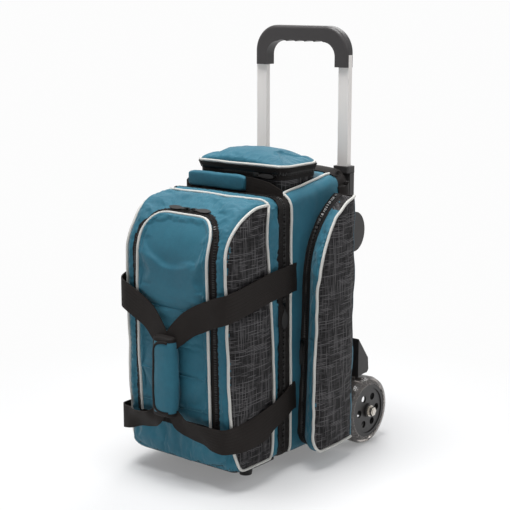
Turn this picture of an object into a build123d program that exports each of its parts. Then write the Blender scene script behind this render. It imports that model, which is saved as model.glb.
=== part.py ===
"""Wheeled bowling ball bag for two balls, in millimetres.

X runs across the bag, Y from its front to its back and Z up. The pieces are drawn with Y measured
from the front panel, and each is moved on export so that the origin lies on the floor, under the
middle of the overall depth.
"""
import os
from math import cos, pi, sin, sqrt

from build123d import *

# ---------------------------------------------------------------- driving sizes
BALL_DIAMETER = 216.0
BALL_SINK = 8.0             # how deep a ball sits in the hole of its seat
CUP_THICK = 10.0
SHELF_THICK = 8.0
BALL_SIDE_ROOM = 6.0
WALL = 4.0                  # padded wall of the body
CLEAR = 0.3                 # running clearance between separate bodies
BOTTOM_Z = 26.0             # underside of the body above the floor
SPLIT_Y = 148.0             # teeth of the main zipper
BACK_Y = 340.0              # rear wall of the body
TOP_ROOM = 2.0              # air above the upper ball
TOP_RISE = 26.0             # the top is this much higher at its rear
TOP_FLAT = 50.0             # level part of the top, at the rear
REAR_CORNER = 16.0
CREST_Y = 112.0             # piping across the top of the front section
BEND_DROP = 90.0            # the front starts to lean back this far below the top
SHOULDER_Y = 30.0           # a point on the arched shoulder of the front
SHOULDER_DROP = 28.0
FRONT_LEAN = 8.0            # the foot of the front stands this much further back
FRONT_FOOT_RADIUS = 34.0
TOP_EDGE_RADIUS = 18.0
PARTITION_Y = 80.0          # wall between the front pocket and the balls

DOOR_HALF_WIDTH = 80.0
DOOR_BOTTOM_Z = 112.0
DOOR_TOP_DROP = 24.0
DOOR_CORNER = 38.0
DOOR_PROUD = 7.0
FLAP_FOLD_Z = 345.0         # fold line of the flap, just above the upper strap
FLAP_FRAME = 12.0           # rim left around the pocket mouth

POCKET_DEPTH = 47.7
POCKET_BASE = 12.0          # fixed ring on the body side
POCKET_WALL = 3.0
POCKET_WHEEL_GAP = 5.5      # behind a pocket, in front of its wheel
POCKET_FRONT_Y = 172.0
POCKET_BASE_FRONT_Y = 190.0
POCKET_BOTTOM_Z = 34.0
POCKET_TOP_DROP = 5.0
POCKET_KNEE_Z = 350.0        # the front edge starts to curve back here
POCKET_KNEE_LEAN = 12.0
POCKET_BULGE = 40.0         # a point on the curved upper front edge
POCKET_BULGE_RISE = 78.0
POCKET_FOOT_RADIUS = 28.0

LID_FRONT_Y = 170.0
LID_REAR_Y = 278.0
LID_WIDTH = 198.0
LID_RISE = 12.0             # lid seam above the top of the body
LID_BAND = 12.0
LID_CROWN = 9.0
LID_CORNER = 22.0

TUBE_INSET = 24.0           # side of the body to the middle of a tube
TUBE_WIDTH = 22.0
TUBE_THICK = 11.0
TUBE_WALL = 1.2
TUBE_LENGTH = 473.0
TUBE_GAP = 20.0             # rear wall of the body to the middle of a tube
TUBE_SOCKET = 22.0          # length of a tube that is held in the grip
GRIP_HEIGHT = 73.0
GRIP_TOP_Z = 771.0
GRIP_LEG = 27.0
GRIP_BAR = 29.0
GRIP_DEPTH = 23.0
GRIP_ROUNDING = 7.0
GRIP_CORNER = 48.0
GRIP_INNER_CORNER = 26.0
FINGER_WAVES = 5
FINGER_DEPTH = 2.6
SLEEVE_WALL = 1.6
SLEEVE_CLEAR = 0.5
SLEEVE_RISE = 8.0           # top of the sleeves above the top of the body
SLEEVE_BOTTOM_Z = 72.0
BEZEL_HEIGHT = 12.0
BEZEL_RIM = 4.0
BOARD_INSET = 6.0
BOARD_BOTTOM_Z = 60.0
COVER_INSET = 5.0
COVER_SKIN = 3.0
COVER_CORNER = 8.0
GUARD_Z = 400.0
GUARD_DEPTH = 33.0
GUARD_HALF_HEIGHT = 37.0
GUARD_WRAP = 28.0           # how far a guard reaches in from the side
GUARD_PROUD = 1.5
GUARD_START = 6.0

WHEEL_RADIUS = 63.5
WHEEL_WIDTH = 37.0
WHEEL_GAP = 3.0             # side of the body to the wheel
WHEEL_BACK = 23.0           # rear wall of the body to the axle
TYRE_INNER_RADIUS = 50.0
TYRE_SHOULDER = 11.0
HUB_WINDOWS = 6
HUB_WINDOW_RADIUS = 7.0
HUB_RIM = 7.0
HUB_WEB = 4.0
HUB_NAVE_RADIUS = 13.0
AXLE_RADIUS = 5.0
BOSS_RADIUS = 14.0
AXLE_RUN = 0.05             # radial clearance of the wheel on its axle
WASHER_RADIUS = 10.5
WASHER_THICK = 1.9
NUT_FLATS = 15.0
NUT_HEIGHT = 7.0
CHASSIS_TOP_Z = 150.0
CHASSIS_REAR = 22.0         # behind the back cover
CHASSIS_INSET = 4.0
CHASSIS_CHAMFER = 28.0
FENDER_WIDTH = 32.0
FENDER_GAP = 8.0            # over the tread
FENDER_TOP = 141.5          # top of a fender above the axle
FENDER_SKIRT = 7.0          # below the tread's highest point
FENDER_REAR = 11.0          # behind the axle
FENDER_TAPER = 2.0
FENDER_SLOPE = 42.0
FENDER_LIP = 12.0

FOOT_RADIUS = 14.0
FOOT_TAPER = 3.0
FOOT_INSET = 43.0
FOOT_Y = 98.0
SKID_THICK = 3.4
SKID_FRONT_Y = 72.0
SKID_INSET = 10.0
SKID_CORNER = 12.0

STRAP_WIDTH = 50.0
STRAP_THICK = 2.2
STRAP_STANDOFF = 6.3        # room for the zipper sliders under the straps
UPPER_STRAP_REAR_Z = 346.0
UPPER_STRAP_CORNER_Z = 322.0
UPPER_STRAP_GRIP_Z = 264.0
LOWER_STRAP_REAR_Z = 132.0
LOWER_STRAP_CORNER_Z = 98.0
LOWER_STRAP_GRIP_Z = 112.0
STRAP_ANCHOR_Y = 178.0
WRAP_LENGTH = 136.0
WRAP_WIDTH = 44.0
WRAP_DEPTH = 26.0

CARRY_GAP = 9.0             # main zipper to the carry handle
CARRY_INSET = 10.0
CARRY_LIFT = 5.0
CARRY_RISE = 20.0
CARRY_WEB_HALF = 1.2
PATCH_THICK = 2.3
CARRY_TAB = 12.0            # sewn end of the webbing
CARRY_SLOPE_LEFT = 8.0
CARRY_SLOPE_RIGHT = 40.0
CARRY_STEP = 2.0            # underside of the webbing above its ends
CARRY_STEP_LEFT = 20.0
CARRY_STEP_RIGHT = 50.0
PATCH_LENGTH = 20.0
PATCH_INSET = 10.0          # end of the webbing to its patch
PATCH_FRONT = 4.0
PATCH_REAR = 9.0
SLEEVE_PAD_LIFT = 13.0
SLEEVE_PAD_WIDTH = 24.0
SLEEVE_PAD_THICK = 12.0
SLEEVE_PAD_CORNER = 5.5
SLEEVE_PAD_LENGTH = 128.0
SLEEVE_PAD_CENTRE_X = -36.0

SLIDER_LENGTH = 13.0
SLIDER_WIDTH = 9.0
SLIDER_BODY = 1.8
PULL_AXIS_HEIGHT = 3.0      # centre of the ring of a pull above the fabric side
BRIDGE_WIDTH = 1.6
BRIDGE_ROOM = 0.3
TAB_LENGTH = 30.0
TAB_THICK = 1.4
TAB_ARM = 12.0
WIDE_TAB = 17.0
NARROW_TAB = 9.0
MAIN_SLIDER_Z = 300.0
POCKET_SLIDER_Z = 225.0
LID_SLIDER_X = 40.0

# ---------------------------------------------------------------- sizes that follow
BALL_RADIUS = BALL_DIAMETER / 2
BALL_SEAT_RADIUS = sqrt(BALL_RADIUS ** 2 - (BALL_RADIUS - BALL_SINK) ** 2)
BODY_WIDTH = BALL_DIAMETER + 2 * (WALL + BALL_SIDE_ROOM)
HALF = BODY_WIDTH / 2
TOP_FRONT_Z = BOTTOM_Z + 2 * WALL + CUP_THICK + SHELF_THICK + 2 * BALL_DIAMETER + TOP_ROOM
TOP_REAR_Z = TOP_FRONT_Z + TOP_RISE
BEND_Z = TOP_FRONT_Z - BEND_DROP
SHOULDER_Z = TOP_FRONT_Z - SHOULDER_DROP
DOOR_TOP_Z = TOP_FRONT_Z - DOOR_TOP_DROP
POCKET_TOP_Z = TOP_FRONT_Z - POCKET_TOP_DROP
LID_SEAM_Z = TOP_REAR_Z + LID_RISE
LID_EDGE_Z = LID_SEAM_Z + LID_BAND
SLEEVE_TOP_Z = TOP_REAR_Z + SLEEVE_RISE
GRIP_BOTTOM_Z = GRIP_TOP_Z - GRIP_HEIGHT
TUBE_X = HALF - TUBE_INSET
TUBE_Y = BACK_Y + TUBE_GAP
GRIP_WIDTH = 2 * TUBE_X + TUBE_WIDTH
WHEEL_INNER_X = HALF + WHEEL_GAP
WHEEL_Y = BACK_Y + WHEEL_BACK
POCKET_REAR_Y = WHEEL_Y - WHEEL_RADIUS - POCKET_WHEEL_GAP
CARRY_Y = SPLIT_Y + CARRY_GAP
CARRY_Z = TOP_FRONT_Z + CARRY_LIFT
CARRY_HALF_SPAN = HALF - CARRY_INSET
FAR = 1000.0                # reach of the cutting tools
WHEEL_Z = WHEEL_RADIUS
STRAP_FRONT_Y = -DOOR_PROUD - 1.2
WRAP_CENTRE_Y = STRAP_FRONT_Y - STRAP_THICK - WRAP_DEPTH / 2 - CLEAR
DEPTH_FRONT_Y = WRAP_CENTRE_Y - WRAP_DEPTH / 2
DEPTH_REAR_Y = WHEEL_Y + WHEEL_RADIUS
CENTRE_Y = (DEPTH_FRONT_Y + DEPTH_REAR_Y) / 2
POCKET_OUTER_X = HALF + CLEAR + POCKET_DEPTH
BALL_Y = (PARTITION_Y + BACK_Y) / 2
SIDES = {"left": -1, "right": 1}

nodes = {}


def add(name, solid):
    """Keep a finished piece under its node name."""
    nodes[name] = solid


def box(x0, x1, y0, y1, z0, z1):
    """A block between two corners."""
    size = (x1 - x0, y1 - y0, z1 - z0)
    return Pos((x0 + x1) / 2, (y0 + y1) / 2, (z0 + z1) / 2) * Box(*size)


def on_side(shape, side):
    """A piece drawn on the right, or its mirror image on the left."""
    return shape if side > 0 else mirror(shape, about=Plane.YZ)


def prism_x(face, x0, x1):
    """A Y-Z face carried from one X to another."""
    return extrude(Plane.YZ.offset(x0) * face, amount=x1 - x0)


def prism_y(face, y0, y1):
    """An X-Z face carried from one Y to another."""
    return extrude(Plane.XZ.offset(-y0) * face, amount=-(y1 - y0))


def rod_x(radius, x0, x1, y, z):
    """A round bar along X."""
    return Pos((x0 + x1) / 2, y, z) * Rot(0, 90, 0) * Cylinder(radius, x1 - x0)


def ring_x(outer, inner, x0, x1, y, z):
    """A round tube along X."""
    return rod_x(outer, x0, x1, y, z) - rod_x(inner, x0 - 1, x1 + 1, y, z)


# ---------------------------------------------------------------- body
def circle_through(a, b, c):
    """Centre and radius of the circle through three points in a plane."""
    d = 2 * (a[0] * (b[1] - c[1]) + b[0] * (c[1] - a[1]) + c[0] * (a[1] - b[1]))
    aa, bb, cc = (p[0] ** 2 + p[1] ** 2 for p in (a, b, c))
    x = (aa * (b[1] - c[1]) + bb * (c[1] - a[1]) + cc * (a[1] - b[1])) / d
    y = (aa * (c[0] - b[0]) + bb * (a[0] - c[0]) + cc * (b[0] - a[0])) / d
    return x, y, sqrt((a[0] - x) ** 2 + (a[1] - y) ** 2)


def front_face(grow):
    """Outline of the front section in Y-Z, grown outwards, running on past the zipper."""
    foot = FRONT_FOOT_RADIUS + grow
    front_low = (FRONT_LEAN - grow, BOTTOM_Z + FRONT_FOOT_RADIUS)
    front_high = (-grow, BEND_Z)
    crest = (CREST_Y, TOP_FRONT_Z + grow)
    shoulder = (SHOULDER_Y, SHOULDER_Z)
    y, z, radius = circle_through((0, BEND_Z), shoulder, (CREST_Y, TOP_FRONT_Z))
    share = 1 + grow / radius
    middle = (y + (SHOULDER_Y - y) * share, z + (SHOULDER_Z - z) * share)
    centre = (front_low[0] + foot, front_low[1])
    low = (centre[0], BOTTOM_Z - grow)
    bend = (centre[0] - foot * cos(pi / 4), centre[1] - foot * sin(pi / 4))
    past = SPLIT_Y + FAR / 2
    outline = (
        Line((past, low[1]), low)
        + ThreePointArc(low, bend, front_low)
        + Line(front_low, front_high)
        + ThreePointArc(front_high, middle, crest)
        + Line(crest, (past, crest[1]))
        + Line((past, crest[1]), (past, low[1]))
    )
    return make_face(outline)


def long_edges(solid, radius):
    """Round the edges that run along the sides of an X prism, but not the ones beneath."""
    limit = solid.bounding_box()
    edges = [
        e for e in solid.edges()
        if abs(abs(e.center().X) - limit.max.X) < 1e-3
        and e.center().Z > limit.min.Z + FRONT_FOOT_RADIUS
        and e.center().Y < limit.max.Y - 1
    ]
    return fillet(edges, radius)


def front_block(grow):
    """Solid of the whole front section, grown outwards by a distance."""
    half = HALF + grow
    block = long_edges(prism_x(front_face(grow), -half, half), TOP_EDGE_RADIUS + grow)
    return block & box(-FAR, FAR, -FAR, SPLIT_Y - CLEAR / 2, -FAR, FAR)


def door_face(inset, bottom):
    """Arched outline of the front door in X-Z."""
    half = DOOR_HALF_WIDTH - inset
    top = DOOR_TOP_Z - inset
    sketch = Pos(0, (bottom + top) / 2) * Rectangle(2 * half, top - bottom)
    corners = sketch.vertices().group_by(Axis.Y)[-1]
    return fillet(corners, DOOR_CORNER - inset)


def make_front_section():
    """Shell, partition and door panels of the front section."""
    inner = front_block(-WALL)
    inner = inner + Pos(0, WALL, 0) * inner
    shell = front_block(0) - inner
    mouth = prism_y(door_face(FLAP_FRAME, FLAP_FOLD_Z + FLAP_FRAME), -FAR, PARTITION_Y)
    half = HALF - WALL
    partition = box(-half, half, PARTITION_Y, PARTITION_Y + WALL, 0, FAR)
    add("front_shell", shell - mouth)
    add("front_partition", partition & front_block(-WALL - CLEAR / 2))
    skin = front_block(DOOR_PROUD) - front_block(CLEAR)
    door = prism_y(door_face(0, DOOR_BOTTOM_Z), -FAR, CREST_Y)
    below = box(-FAR, FAR, -FAR, CREST_Y, 0, FLAP_FOLD_Z - CLEAR)
    above = box(-FAR, FAR, -FAR, CREST_Y, FLAP_FOLD_Z + CLEAR, FAR)
    add("front_door_panel", skin & door & below)
    add("front_door_flap", skin & door & above)


def rear_face(grow):
    """Outline of the rear section in Y-Z, starting ahead of the zipper."""
    start = SPLIT_Y - TOP_FLAT
    low, back, top = BOTTOM_Z - grow, BACK_Y + grow, TOP_REAR_Z + grow
    points = [
        (start, low), (back, low), (back, top), (BACK_Y - TOP_FLAT, top),
        (SPLIT_Y, TOP_FRONT_Z + grow), (start, TOP_FRONT_Z + grow),
    ]
    face = make_face(Polyline(*points, close=True))
    corner = [v for v in face.vertices() if v.X > back - 1]
    return fillet(corner, REAR_CORNER + grow)


def rear_block(grow):
    """Solid of the whole rear section, grown outwards by a distance."""
    half = HALF + grow
    block = prism_x(rear_face(grow), -half, half)
    edges = [
        e for e in block.edges()
        if abs(abs(e.center().X) - half) < 1e-3 and e.center().Z > TOP_FRONT_Z - 1 + grow
        and e.center().Y < BACK_Y - REAR_CORNER
    ]
    block = fillet(edges, TOP_EDGE_RADIUS + grow)
    return block & box(-FAR, FAR, SPLIT_Y + CLEAR / 2, FAR, -FAR, FAR)


def make_rear_section():
    """Shell of the rear section with the supports of the two balls."""
    inner = rear_block(-WALL)
    inner = inner + Pos(0, -WALL, 0) * inner
    add("rear_shell", rear_block(0) - inner)
    half = HALF - WALL - CLEAR
    rear = BACK_Y - WALL - CLEAR
    front = SPLIT_Y + WALL + 2
    floor_z = BOTTOM_Z + WALL + CLEAR
    room = rear_block(-WALL - CLEAR)
    seat = Cylinder(BALL_SEAT_RADIUS, BALL_DIAMETER / 2)
    cup = box(-half, half, front, rear, floor_z, floor_z + CUP_THICK) & room
    add("lower_ball_cup", cup - Pos(0, BALL_Y, floor_z) * seat)
    shelf_z = floor_z + CUP_THICK + BALL_DIAMETER
    shelf = box(-half, half, front, rear, shelf_z, shelf_z + SHELF_THICK) & room
    add("ball_shelf", shelf - Pos(0, BALL_Y, shelf_z) * seat)


# ---------------------------------------------------------------- side pockets
def pocket_face(front_y, inset):
    """Outline of a side pocket in Y-Z, with its front edge at a chosen Y."""
    low, high = POCKET_BOTTOM_Z + inset, POCKET_TOP_Z - inset
    rear = POCKET_REAR_Y - inset
    front = front_y + inset
    radius = POCKET_FOOT_RADIUS - inset
    knee = (front + POCKET_KNEE_LEAN, POCKET_KNEE_Z)
    turn = (front + radius * (1 - cos(pi / 4)), low + radius * (1 - sin(pi / 4)))
    bulge = (front + POCKET_BULGE, POCKET_KNEE_Z + POCKET_BULGE_RISE)
    outline = (
        Line((rear, low), (front + radius, low))
        + ThreePointArc((front + radius, low), turn, (front, low + radius))
        + Line((front, low + radius), knee)
        + ThreePointArc(knee, bulge, (rear, high))
        + Line((rear, high), (rear, low))
    )
    return make_face(outline)


def pocket_body(x0, x1, inset):
    """Tapered solid of a pocket between two X, leaning forward from its seam outwards."""
    seam = HALF + CLEAR + POCKET_BASE
    lean = (POCKET_BASE_FRONT_Y - POCKET_FRONT_Y) / (POCKET_OUTER_X - seam)
    faces = []
    for x in (x0, x1):
        front = POCKET_BASE_FRONT_Y - lean * (x - seam)
        faces.append(Plane.YZ.offset(x) * pocket_face(front, inset))
    return loft(faces)


def make_side_pocket(name, side):
    """Fixed ring, gusset and outer panel of one side pocket."""
    base = HALF + CLEAR
    seam = base + POCKET_BASE
    outer = POCKET_OUTER_X
    face_x = outer - POCKET_WALL
    ring = prism_x(pocket_face(POCKET_BASE_FRONT_Y, 0), base, seam)
    ring -= prism_x(pocket_face(POCKET_BASE_FRONT_Y, POCKET_WALL), base - 1, seam + 1)
    rear_y = POCKET_REAR_Y
    ring &= box(0, FAR, 0, rear_y - POCKET_WALL, 0, FAR)
    rear = box(base, face_x - CLEAR, rear_y - POCKET_WALL, rear_y, POCKET_BOTTOM_Z, POCKET_TOP_Z)
    add(f"{name}_pocket_frame", on_side(ring + rear, side))
    door_x = seam + CLEAR
    gusset = pocket_body(door_x, face_x, 0) - pocket_body(door_x - 1, face_x + 1, POCKET_WALL)
    gusset = gusset - box(0, FAR, rear_y - POCKET_WALL - CLEAR, FAR, 0, FAR)
    add(f"{name}_pocket_gusset", on_side(gusset, side))
    panel = pocket_body(face_x, outer, 0)
    add(f"{name}_pocket_panel", on_side(panel, side))


# ---------------------------------------------------------------- top pocket
def lid_block(grow, z0, z1):
    """Rounded block in plan for the top pocket."""
    centre_y = (LID_FRONT_Y + LID_REAR_Y) / 2
    width = LID_WIDTH + 2 * grow
    depth = LID_REAR_Y - LID_FRONT_Y + 2 * grow
    plan = RectangleRounded(width, depth, LID_CORNER + grow)
    return extrude(Pos(0, centre_y, z0) * plan, amount=z1 - z0)


def make_top_pocket():
    """Box of the top pocket and its domed lid."""
    low = TOP_FRONT_Z - WALL
    hollow = lid_block(-2 * POCKET_WALL, low - 1, LID_SEAM_Z + 1)
    wall = lid_block(-POCKET_WALL, low, LID_SEAM_Z) - hollow
    add("top_pocket_wall", wall - rear_block(CLEAR))
    rim = lid_block(0, LID_SEAM_Z + CLEAR, LID_EDGE_Z)
    rim -= lid_block(-POCKET_WALL, LID_SEAM_Z, LID_EDGE_Z - POCKET_WALL)
    half_x, half_y = LID_WIDTH / 2, (LID_REAR_Y - LID_FRONT_Y) / 2
    radius = (half_x ** 2 + LID_CROWN ** 2) / (2 * LID_CROWN)
    centre_y = LID_FRONT_Y + half_y
    dome = Pos(0, centre_y, LID_EDGE_Z + LID_CROWN - radius) * Rot(90, 0, 0)
    dome = dome * Cylinder(radius, 4 * half_y)
    crown = lid_block(0, LID_EDGE_Z - 1, LID_EDGE_Z + LID_CROWN) & dome
    add("top_pocket_lid", rim + crown)


# ---------------------------------------------------------------- pull handle
def make_pull_handle():
    """Sliding tubes and the moulded grip that joins them."""
    profile = Rectangle(TUBE_WIDTH, TUBE_THICK) - Rectangle(
        TUBE_WIDTH - 2 * TUBE_WALL, TUBE_THICK - 2 * TUBE_WALL
    )
    for name, side in SIDES.items():
        tube = extrude(profile, amount=TUBE_LENGTH + TUBE_SOCKET)
        low = GRIP_BOTTOM_Z - TUBE_LENGTH
        add(f"{name}_handle_tube", Pos(side * TUBE_X, TUBE_Y, low) * tube)
    height = GRIP_TOP_Z - GRIP_BOTTOM_Z
    outer = Pos(0, GRIP_BOTTOM_Z + height / 2) * Rectangle(GRIP_WIDTH, height)
    outer = fillet(outer.vertices().group_by(Axis.Y)[-1], GRIP_CORNER)
    inner_top = GRIP_TOP_Z - GRIP_BAR
    inner_width = GRIP_WIDTH - 2 * GRIP_LEG
    low = GRIP_BOTTOM_Z - CLEAR
    inner = Pos(0, (low + inner_top) / 2) * Rectangle(inner_width, inner_top - low)
    inner = fillet(inner.vertices().group_by(Axis.Y)[-1], GRIP_INNER_CORNER)
    pitch = (inner_width - 2 * GRIP_INNER_CORNER) / FINGER_WAVES
    radius = (pitch ** 2 / 4 + FINGER_DEPTH ** 2) / (2 * FINGER_DEPTH)
    for index in range(FINGER_WAVES):
        x = (index - (FINGER_WAVES - 1) / 2) * pitch
        inner += Pos(x, inner_top + FINGER_DEPTH - radius) * Circle(radius)
    inner = inner & Pos(0, inner_top) * Rectangle(inner_width, 2 * height)
    grip = prism_y(outer - inner, TUBE_Y - GRIP_DEPTH / 2, TUBE_Y + GRIP_DEPTH / 2)
    rims = [
        e for e in grip.edges()
        if abs(abs(e.center().Y - TUBE_Y) - GRIP_DEPTH / 2) < 1e-3
        and (e.center().Z > GRIP_TOP_Z - GRIP_BAR / 2 or abs(e.center().X) > TUBE_X + CLEAR)
    ]
    grip = fillet(rims, GRIP_ROUNDING)
    for side in SIDES.values():
        hole = Pos(side * TUBE_X, TUBE_Y, GRIP_BOTTOM_Z + TUBE_SOCKET / 2)
        grip -= hole * Box(TUBE_WIDTH, TUBE_THICK, TUBE_SOCKET)
    add("handle_grip", grip)


def make_handle_sleeves():
    """Fixed sleeves in which the tubes slide, with a collar on each."""
    bore = Rectangle(TUBE_WIDTH + 2 * SLEEVE_CLEAR, TUBE_THICK + 2 * SLEEVE_CLEAR)
    grow = 2 * (SLEEVE_CLEAR + SLEEVE_WALL)
    outer = Rectangle(TUBE_WIDTH + grow, TUBE_THICK + grow)
    rim = grow + 2 * BEZEL_RIM
    collar = RectangleRounded(TUBE_WIDTH + rim, TUBE_THICK + rim, BEZEL_RIM) - bore
    length = SLEEVE_TOP_Z - BEZEL_HEIGHT - SLEEVE_BOTTOM_Z
    collars = []
    for name, side in SIDES.items():
        at = Pos(side * TUBE_X, TUBE_Y, SLEEVE_BOTTOM_Z)
        add(f"{name}_handle_sleeve", at * extrude(outer - bore, amount=length))
        top = at * Pos(0, 0, length)
        collars.append(top * extrude(collar, amount=BEZEL_HEIGHT))
    add("sleeve_collars", Compound(collars))


def sleeve_half_depth():
    """Half of the outer thickness of a sleeve."""
    return TUBE_THICK / 2 + SLEEVE_CLEAR + SLEEVE_WALL


def sleeve_channel(side, y0, y1):
    """Room for one sleeve, from one Y to another."""
    x = side * TUBE_X
    half = TUBE_WIDTH / 2 + SLEEVE_CLEAR + SLEEVE_WALL + CLEAR
    return box(x - half, x + half, y0, y1, SLEEVE_BOTTOM_Z - CLEAR, FAR)


def make_back():
    """Stiff back board, the cover over the sleeves and the guards at its upper corners."""
    board_y = BACK_Y + CLEAR
    board_rear = TUBE_Y - sleeve_half_depth() - CLEAR
    half = HALF - BOARD_INSET
    board_top = TOP_REAR_Z - TOP_EDGE_RADIUS
    add("back_board", box(-half, half, board_y, board_rear, BOARD_BOTTOM_Z, board_top))
    rear = TUBE_Y + sleeve_half_depth() + CLEAR
    cover_top = SLEEVE_TOP_Z - BEZEL_HEIGHT - CLEAR
    half = HALF - COVER_INSET
    cover_rear = rear + COVER_SKIN
    cover = box(-half, half, board_rear + CLEAR, cover_rear, CHASSIS_TOP_Z, cover_top)
    cover = fillet(cover.edges().filter_by(Axis.Z).group_by(Axis.Y)[-1], COVER_CORNER)
    for side in SIDES.values():
        cover -= sleeve_channel(side, 0, rear)
    add("back_cover", cover)
    guard_rear = cover_rear + CLEAR
    face = Pos(TUBE_Y, GUARD_Z) * Ellipse(GUARD_DEPTH, GUARD_HALF_HEIGHT)
    guard = prism_x(face, HALF - GUARD_WRAP, HALF + GUARD_PROUD)
    guard -= box(0, half + CLEAR, 0, guard_rear, 0, FAR)
    guard &= box(0, FAR, board_y + GUARD_START, FAR, 0, FAR)
    for name, side in SIDES.items():
        add(f"{name}_upper_guard", on_side(guard, side))
    return cover_rear


# ---------------------------------------------------------------- wheels and base
def make_chassis(cover_rear):
    """Moulded base that carries the axle, with its ribs, fenders and feet."""
    front, rear = BACK_Y + CLEAR, cover_rear + CHASSIS_REAR
    low, high = BOTTOM_Z, CHASSIS_TOP_Z - CLEAR
    points = [(front, low), (rear - CHASSIS_CHAMFER, low), (rear, low + CHASSIS_CHAMFER),
              (rear, high - CHASSIS_REAR), (cover_rear, high), (front, high)]
    face = make_face(Polyline(*points, close=True))
    face = fillet([v for v in face.vertices() if v.X > cover_rear - 1], CHASSIS_REAR / 3)
    half = HALF - CHASSIS_INSET
    block = prism_x(face, -half, half)
    board_rear = TUBE_Y - sleeve_half_depth()
    board_half = HALF - BOARD_INSET + CLEAR
    block -= box(-board_half, board_half, 0, board_rear, BOARD_BOTTOM_Z - CLEAR, FAR)
    for side in SIDES.values():
        block -= sleeve_channel(side, 0, TUBE_Y + sleeve_half_depth() + CLEAR)
    bore = rod_x(AXLE_RADIUS, -FAR, FAR, WHEEL_Y, WHEEL_Z)
    reach = WHEEL_INNER_X - CLEAR
    for side in SIDES.values():
        block += on_side(rod_x(BOSS_RADIUS, half - 1, reach, WHEEL_Y, WHEEL_Z), side)
    add("rear_chassis", block - bore)
    arch = WHEEL_RADIUS + FENDER_GAP
    low, top = WHEEL_Z + arch - FENDER_SKIRT, WHEEL_Z + FENDER_TOP
    end = WHEEL_Y + FENDER_REAR
    profile = [(front, low), (front, top), (end - FENDER_TAPER, top - FENDER_SLOPE),
               (end, low + FENDER_LIP), (end - FENDER_LIP, low)]
    inner = half + CLEAR
    fender = prism_x(make_face(Polyline(*profile, close=True)), inner, inner + FENDER_WIDTH)
    fender -= rod_x(arch, 0, FAR, WHEEL_Y, WHEEL_Z)
    for name, side in SIDES.items():
        add(f"{name}_wheel_fender", on_side(fender, side))
    half = HALF - SKID_INSET
    skid_low = BOTTOM_Z - SKID_THICK
    skid = box(-half, half, SKID_FRONT_Y, SPLIT_Y - WALL, skid_low, BOTTOM_Z - CLEAR)
    add("skid_plate", fillet(skid.edges().filter_by(Axis.Z), SKID_CORNER))
    foot_top = skid_low - CLEAR
    foot = Pos(HALF - FOOT_INSET, FOOT_Y, foot_top / 2)
    foot = foot * Cone(FOOT_RADIUS - FOOT_TAPER, FOOT_RADIUS, foot_top)
    add("front_feet", Compound([on_side(foot, side) for side in SIDES.values()]))


def make_axle():
    """Through axle with a nut and washer at each end."""
    end = WHEEL_INNER_X + WHEEL_WIDTH
    nut_x = end + CLEAR + WASHER_THICK
    reach = nut_x + NUT_HEIGHT + 1
    add("axle", rod_x(AXLE_RADIUS, -reach, reach, WHEEL_Y, WHEEL_Z))
    hexagon = Plane.YZ.offset(nut_x) * Pos(WHEEL_Y, WHEEL_Z)
    hexagon = hexagon * RegularPolygon(NUT_FLATS / 2, 6, major_radius=False)
    bore = rod_x(AXLE_RADIUS, 0, FAR, WHEEL_Y, WHEEL_Z)
    nut = extrude(hexagon, amount=NUT_HEIGHT) - bore
    washer = ring_x(WASHER_RADIUS, AXLE_RADIUS, end + CLEAR, nut_x, WHEEL_Y, WHEEL_Z)
    add("axle_nuts", Compound([on_side(nut, side) for side in SIDES.values()]))
    add("axle_washers", Compound([on_side(washer, side) for side in SIDES.values()]))


def make_wheel(name, side):
    """Clear tyre cast over a toothed core, and the spoked hub disc."""
    x0, x1 = WHEEL_INNER_X, WHEEL_INNER_X + WHEEL_WIDTH
    s, r, core = TYRE_SHOULDER, WHEEL_RADIUS, TYRE_INNER_RADIUS
    left, right = x0 + 0.3, x1 - 1.0
    near = s * (1 - cos(pi / 4))
    tyre = Polyline((left, core), (left, r - s), (left + near, r - near), (left + s, r),
                    (right - s, r), (right - near, r - near), (right, r - s),
                    (right, core), close=True)
    axis = Axis((0, 0, 0), (1, 0, 0))
    place = Pos(0, WHEEL_Y, WHEEL_Z)
    section = Plane.XZ * make_face(tyre)
    add(f"{name}_tyre", on_side(place * revolve(section, axis), side))
    rim = ring_x(core, core - HUB_RIM, x0 + 2, x1 - 2, 0, 0)
    web_x = x1 - 2 * HUB_WEB
    web = ring_x(core - HUB_RIM / 2, HUB_NAVE_RADIUS / 2, web_x, web_x + HUB_WEB, 0, 0)
    bore = AXLE_RADIUS + AXLE_RUN
    nave = ring_x(HUB_NAVE_RADIUS, bore, x0, x1, 0, 0)
    for index in range(HUB_WINDOWS):
        turn = 360 / HUB_WINDOWS * (index + 0.5)
        place_in_web = Rot(turn, 0, 0) * Pos(web_x, 0, (core - HUB_RIM + HUB_NAVE_RADIUS) / 2)
        web -= place_in_web * Rot(0, 90, 0) * Cylinder(HUB_WINDOW_RADIUS, 4 * HUB_WEB)
    add(f"{name}_wheel_hub", on_side(place * (rim + web + nave), side))


# ---------------------------------------------------------------- straps and carry handle
def strap_band(x0, z0, x1, z1, y0, y1):
    """A flat band in front of the bag, leaning between two heights."""
    half = STRAP_WIDTH / 2
    points = [(x0, z0 - half), (x1, z1 - half), (x1, z1 + half), (x0, z0 + half)]
    return prism_y(make_face(Polyline(*points, close=True)), y0, y1)


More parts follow.
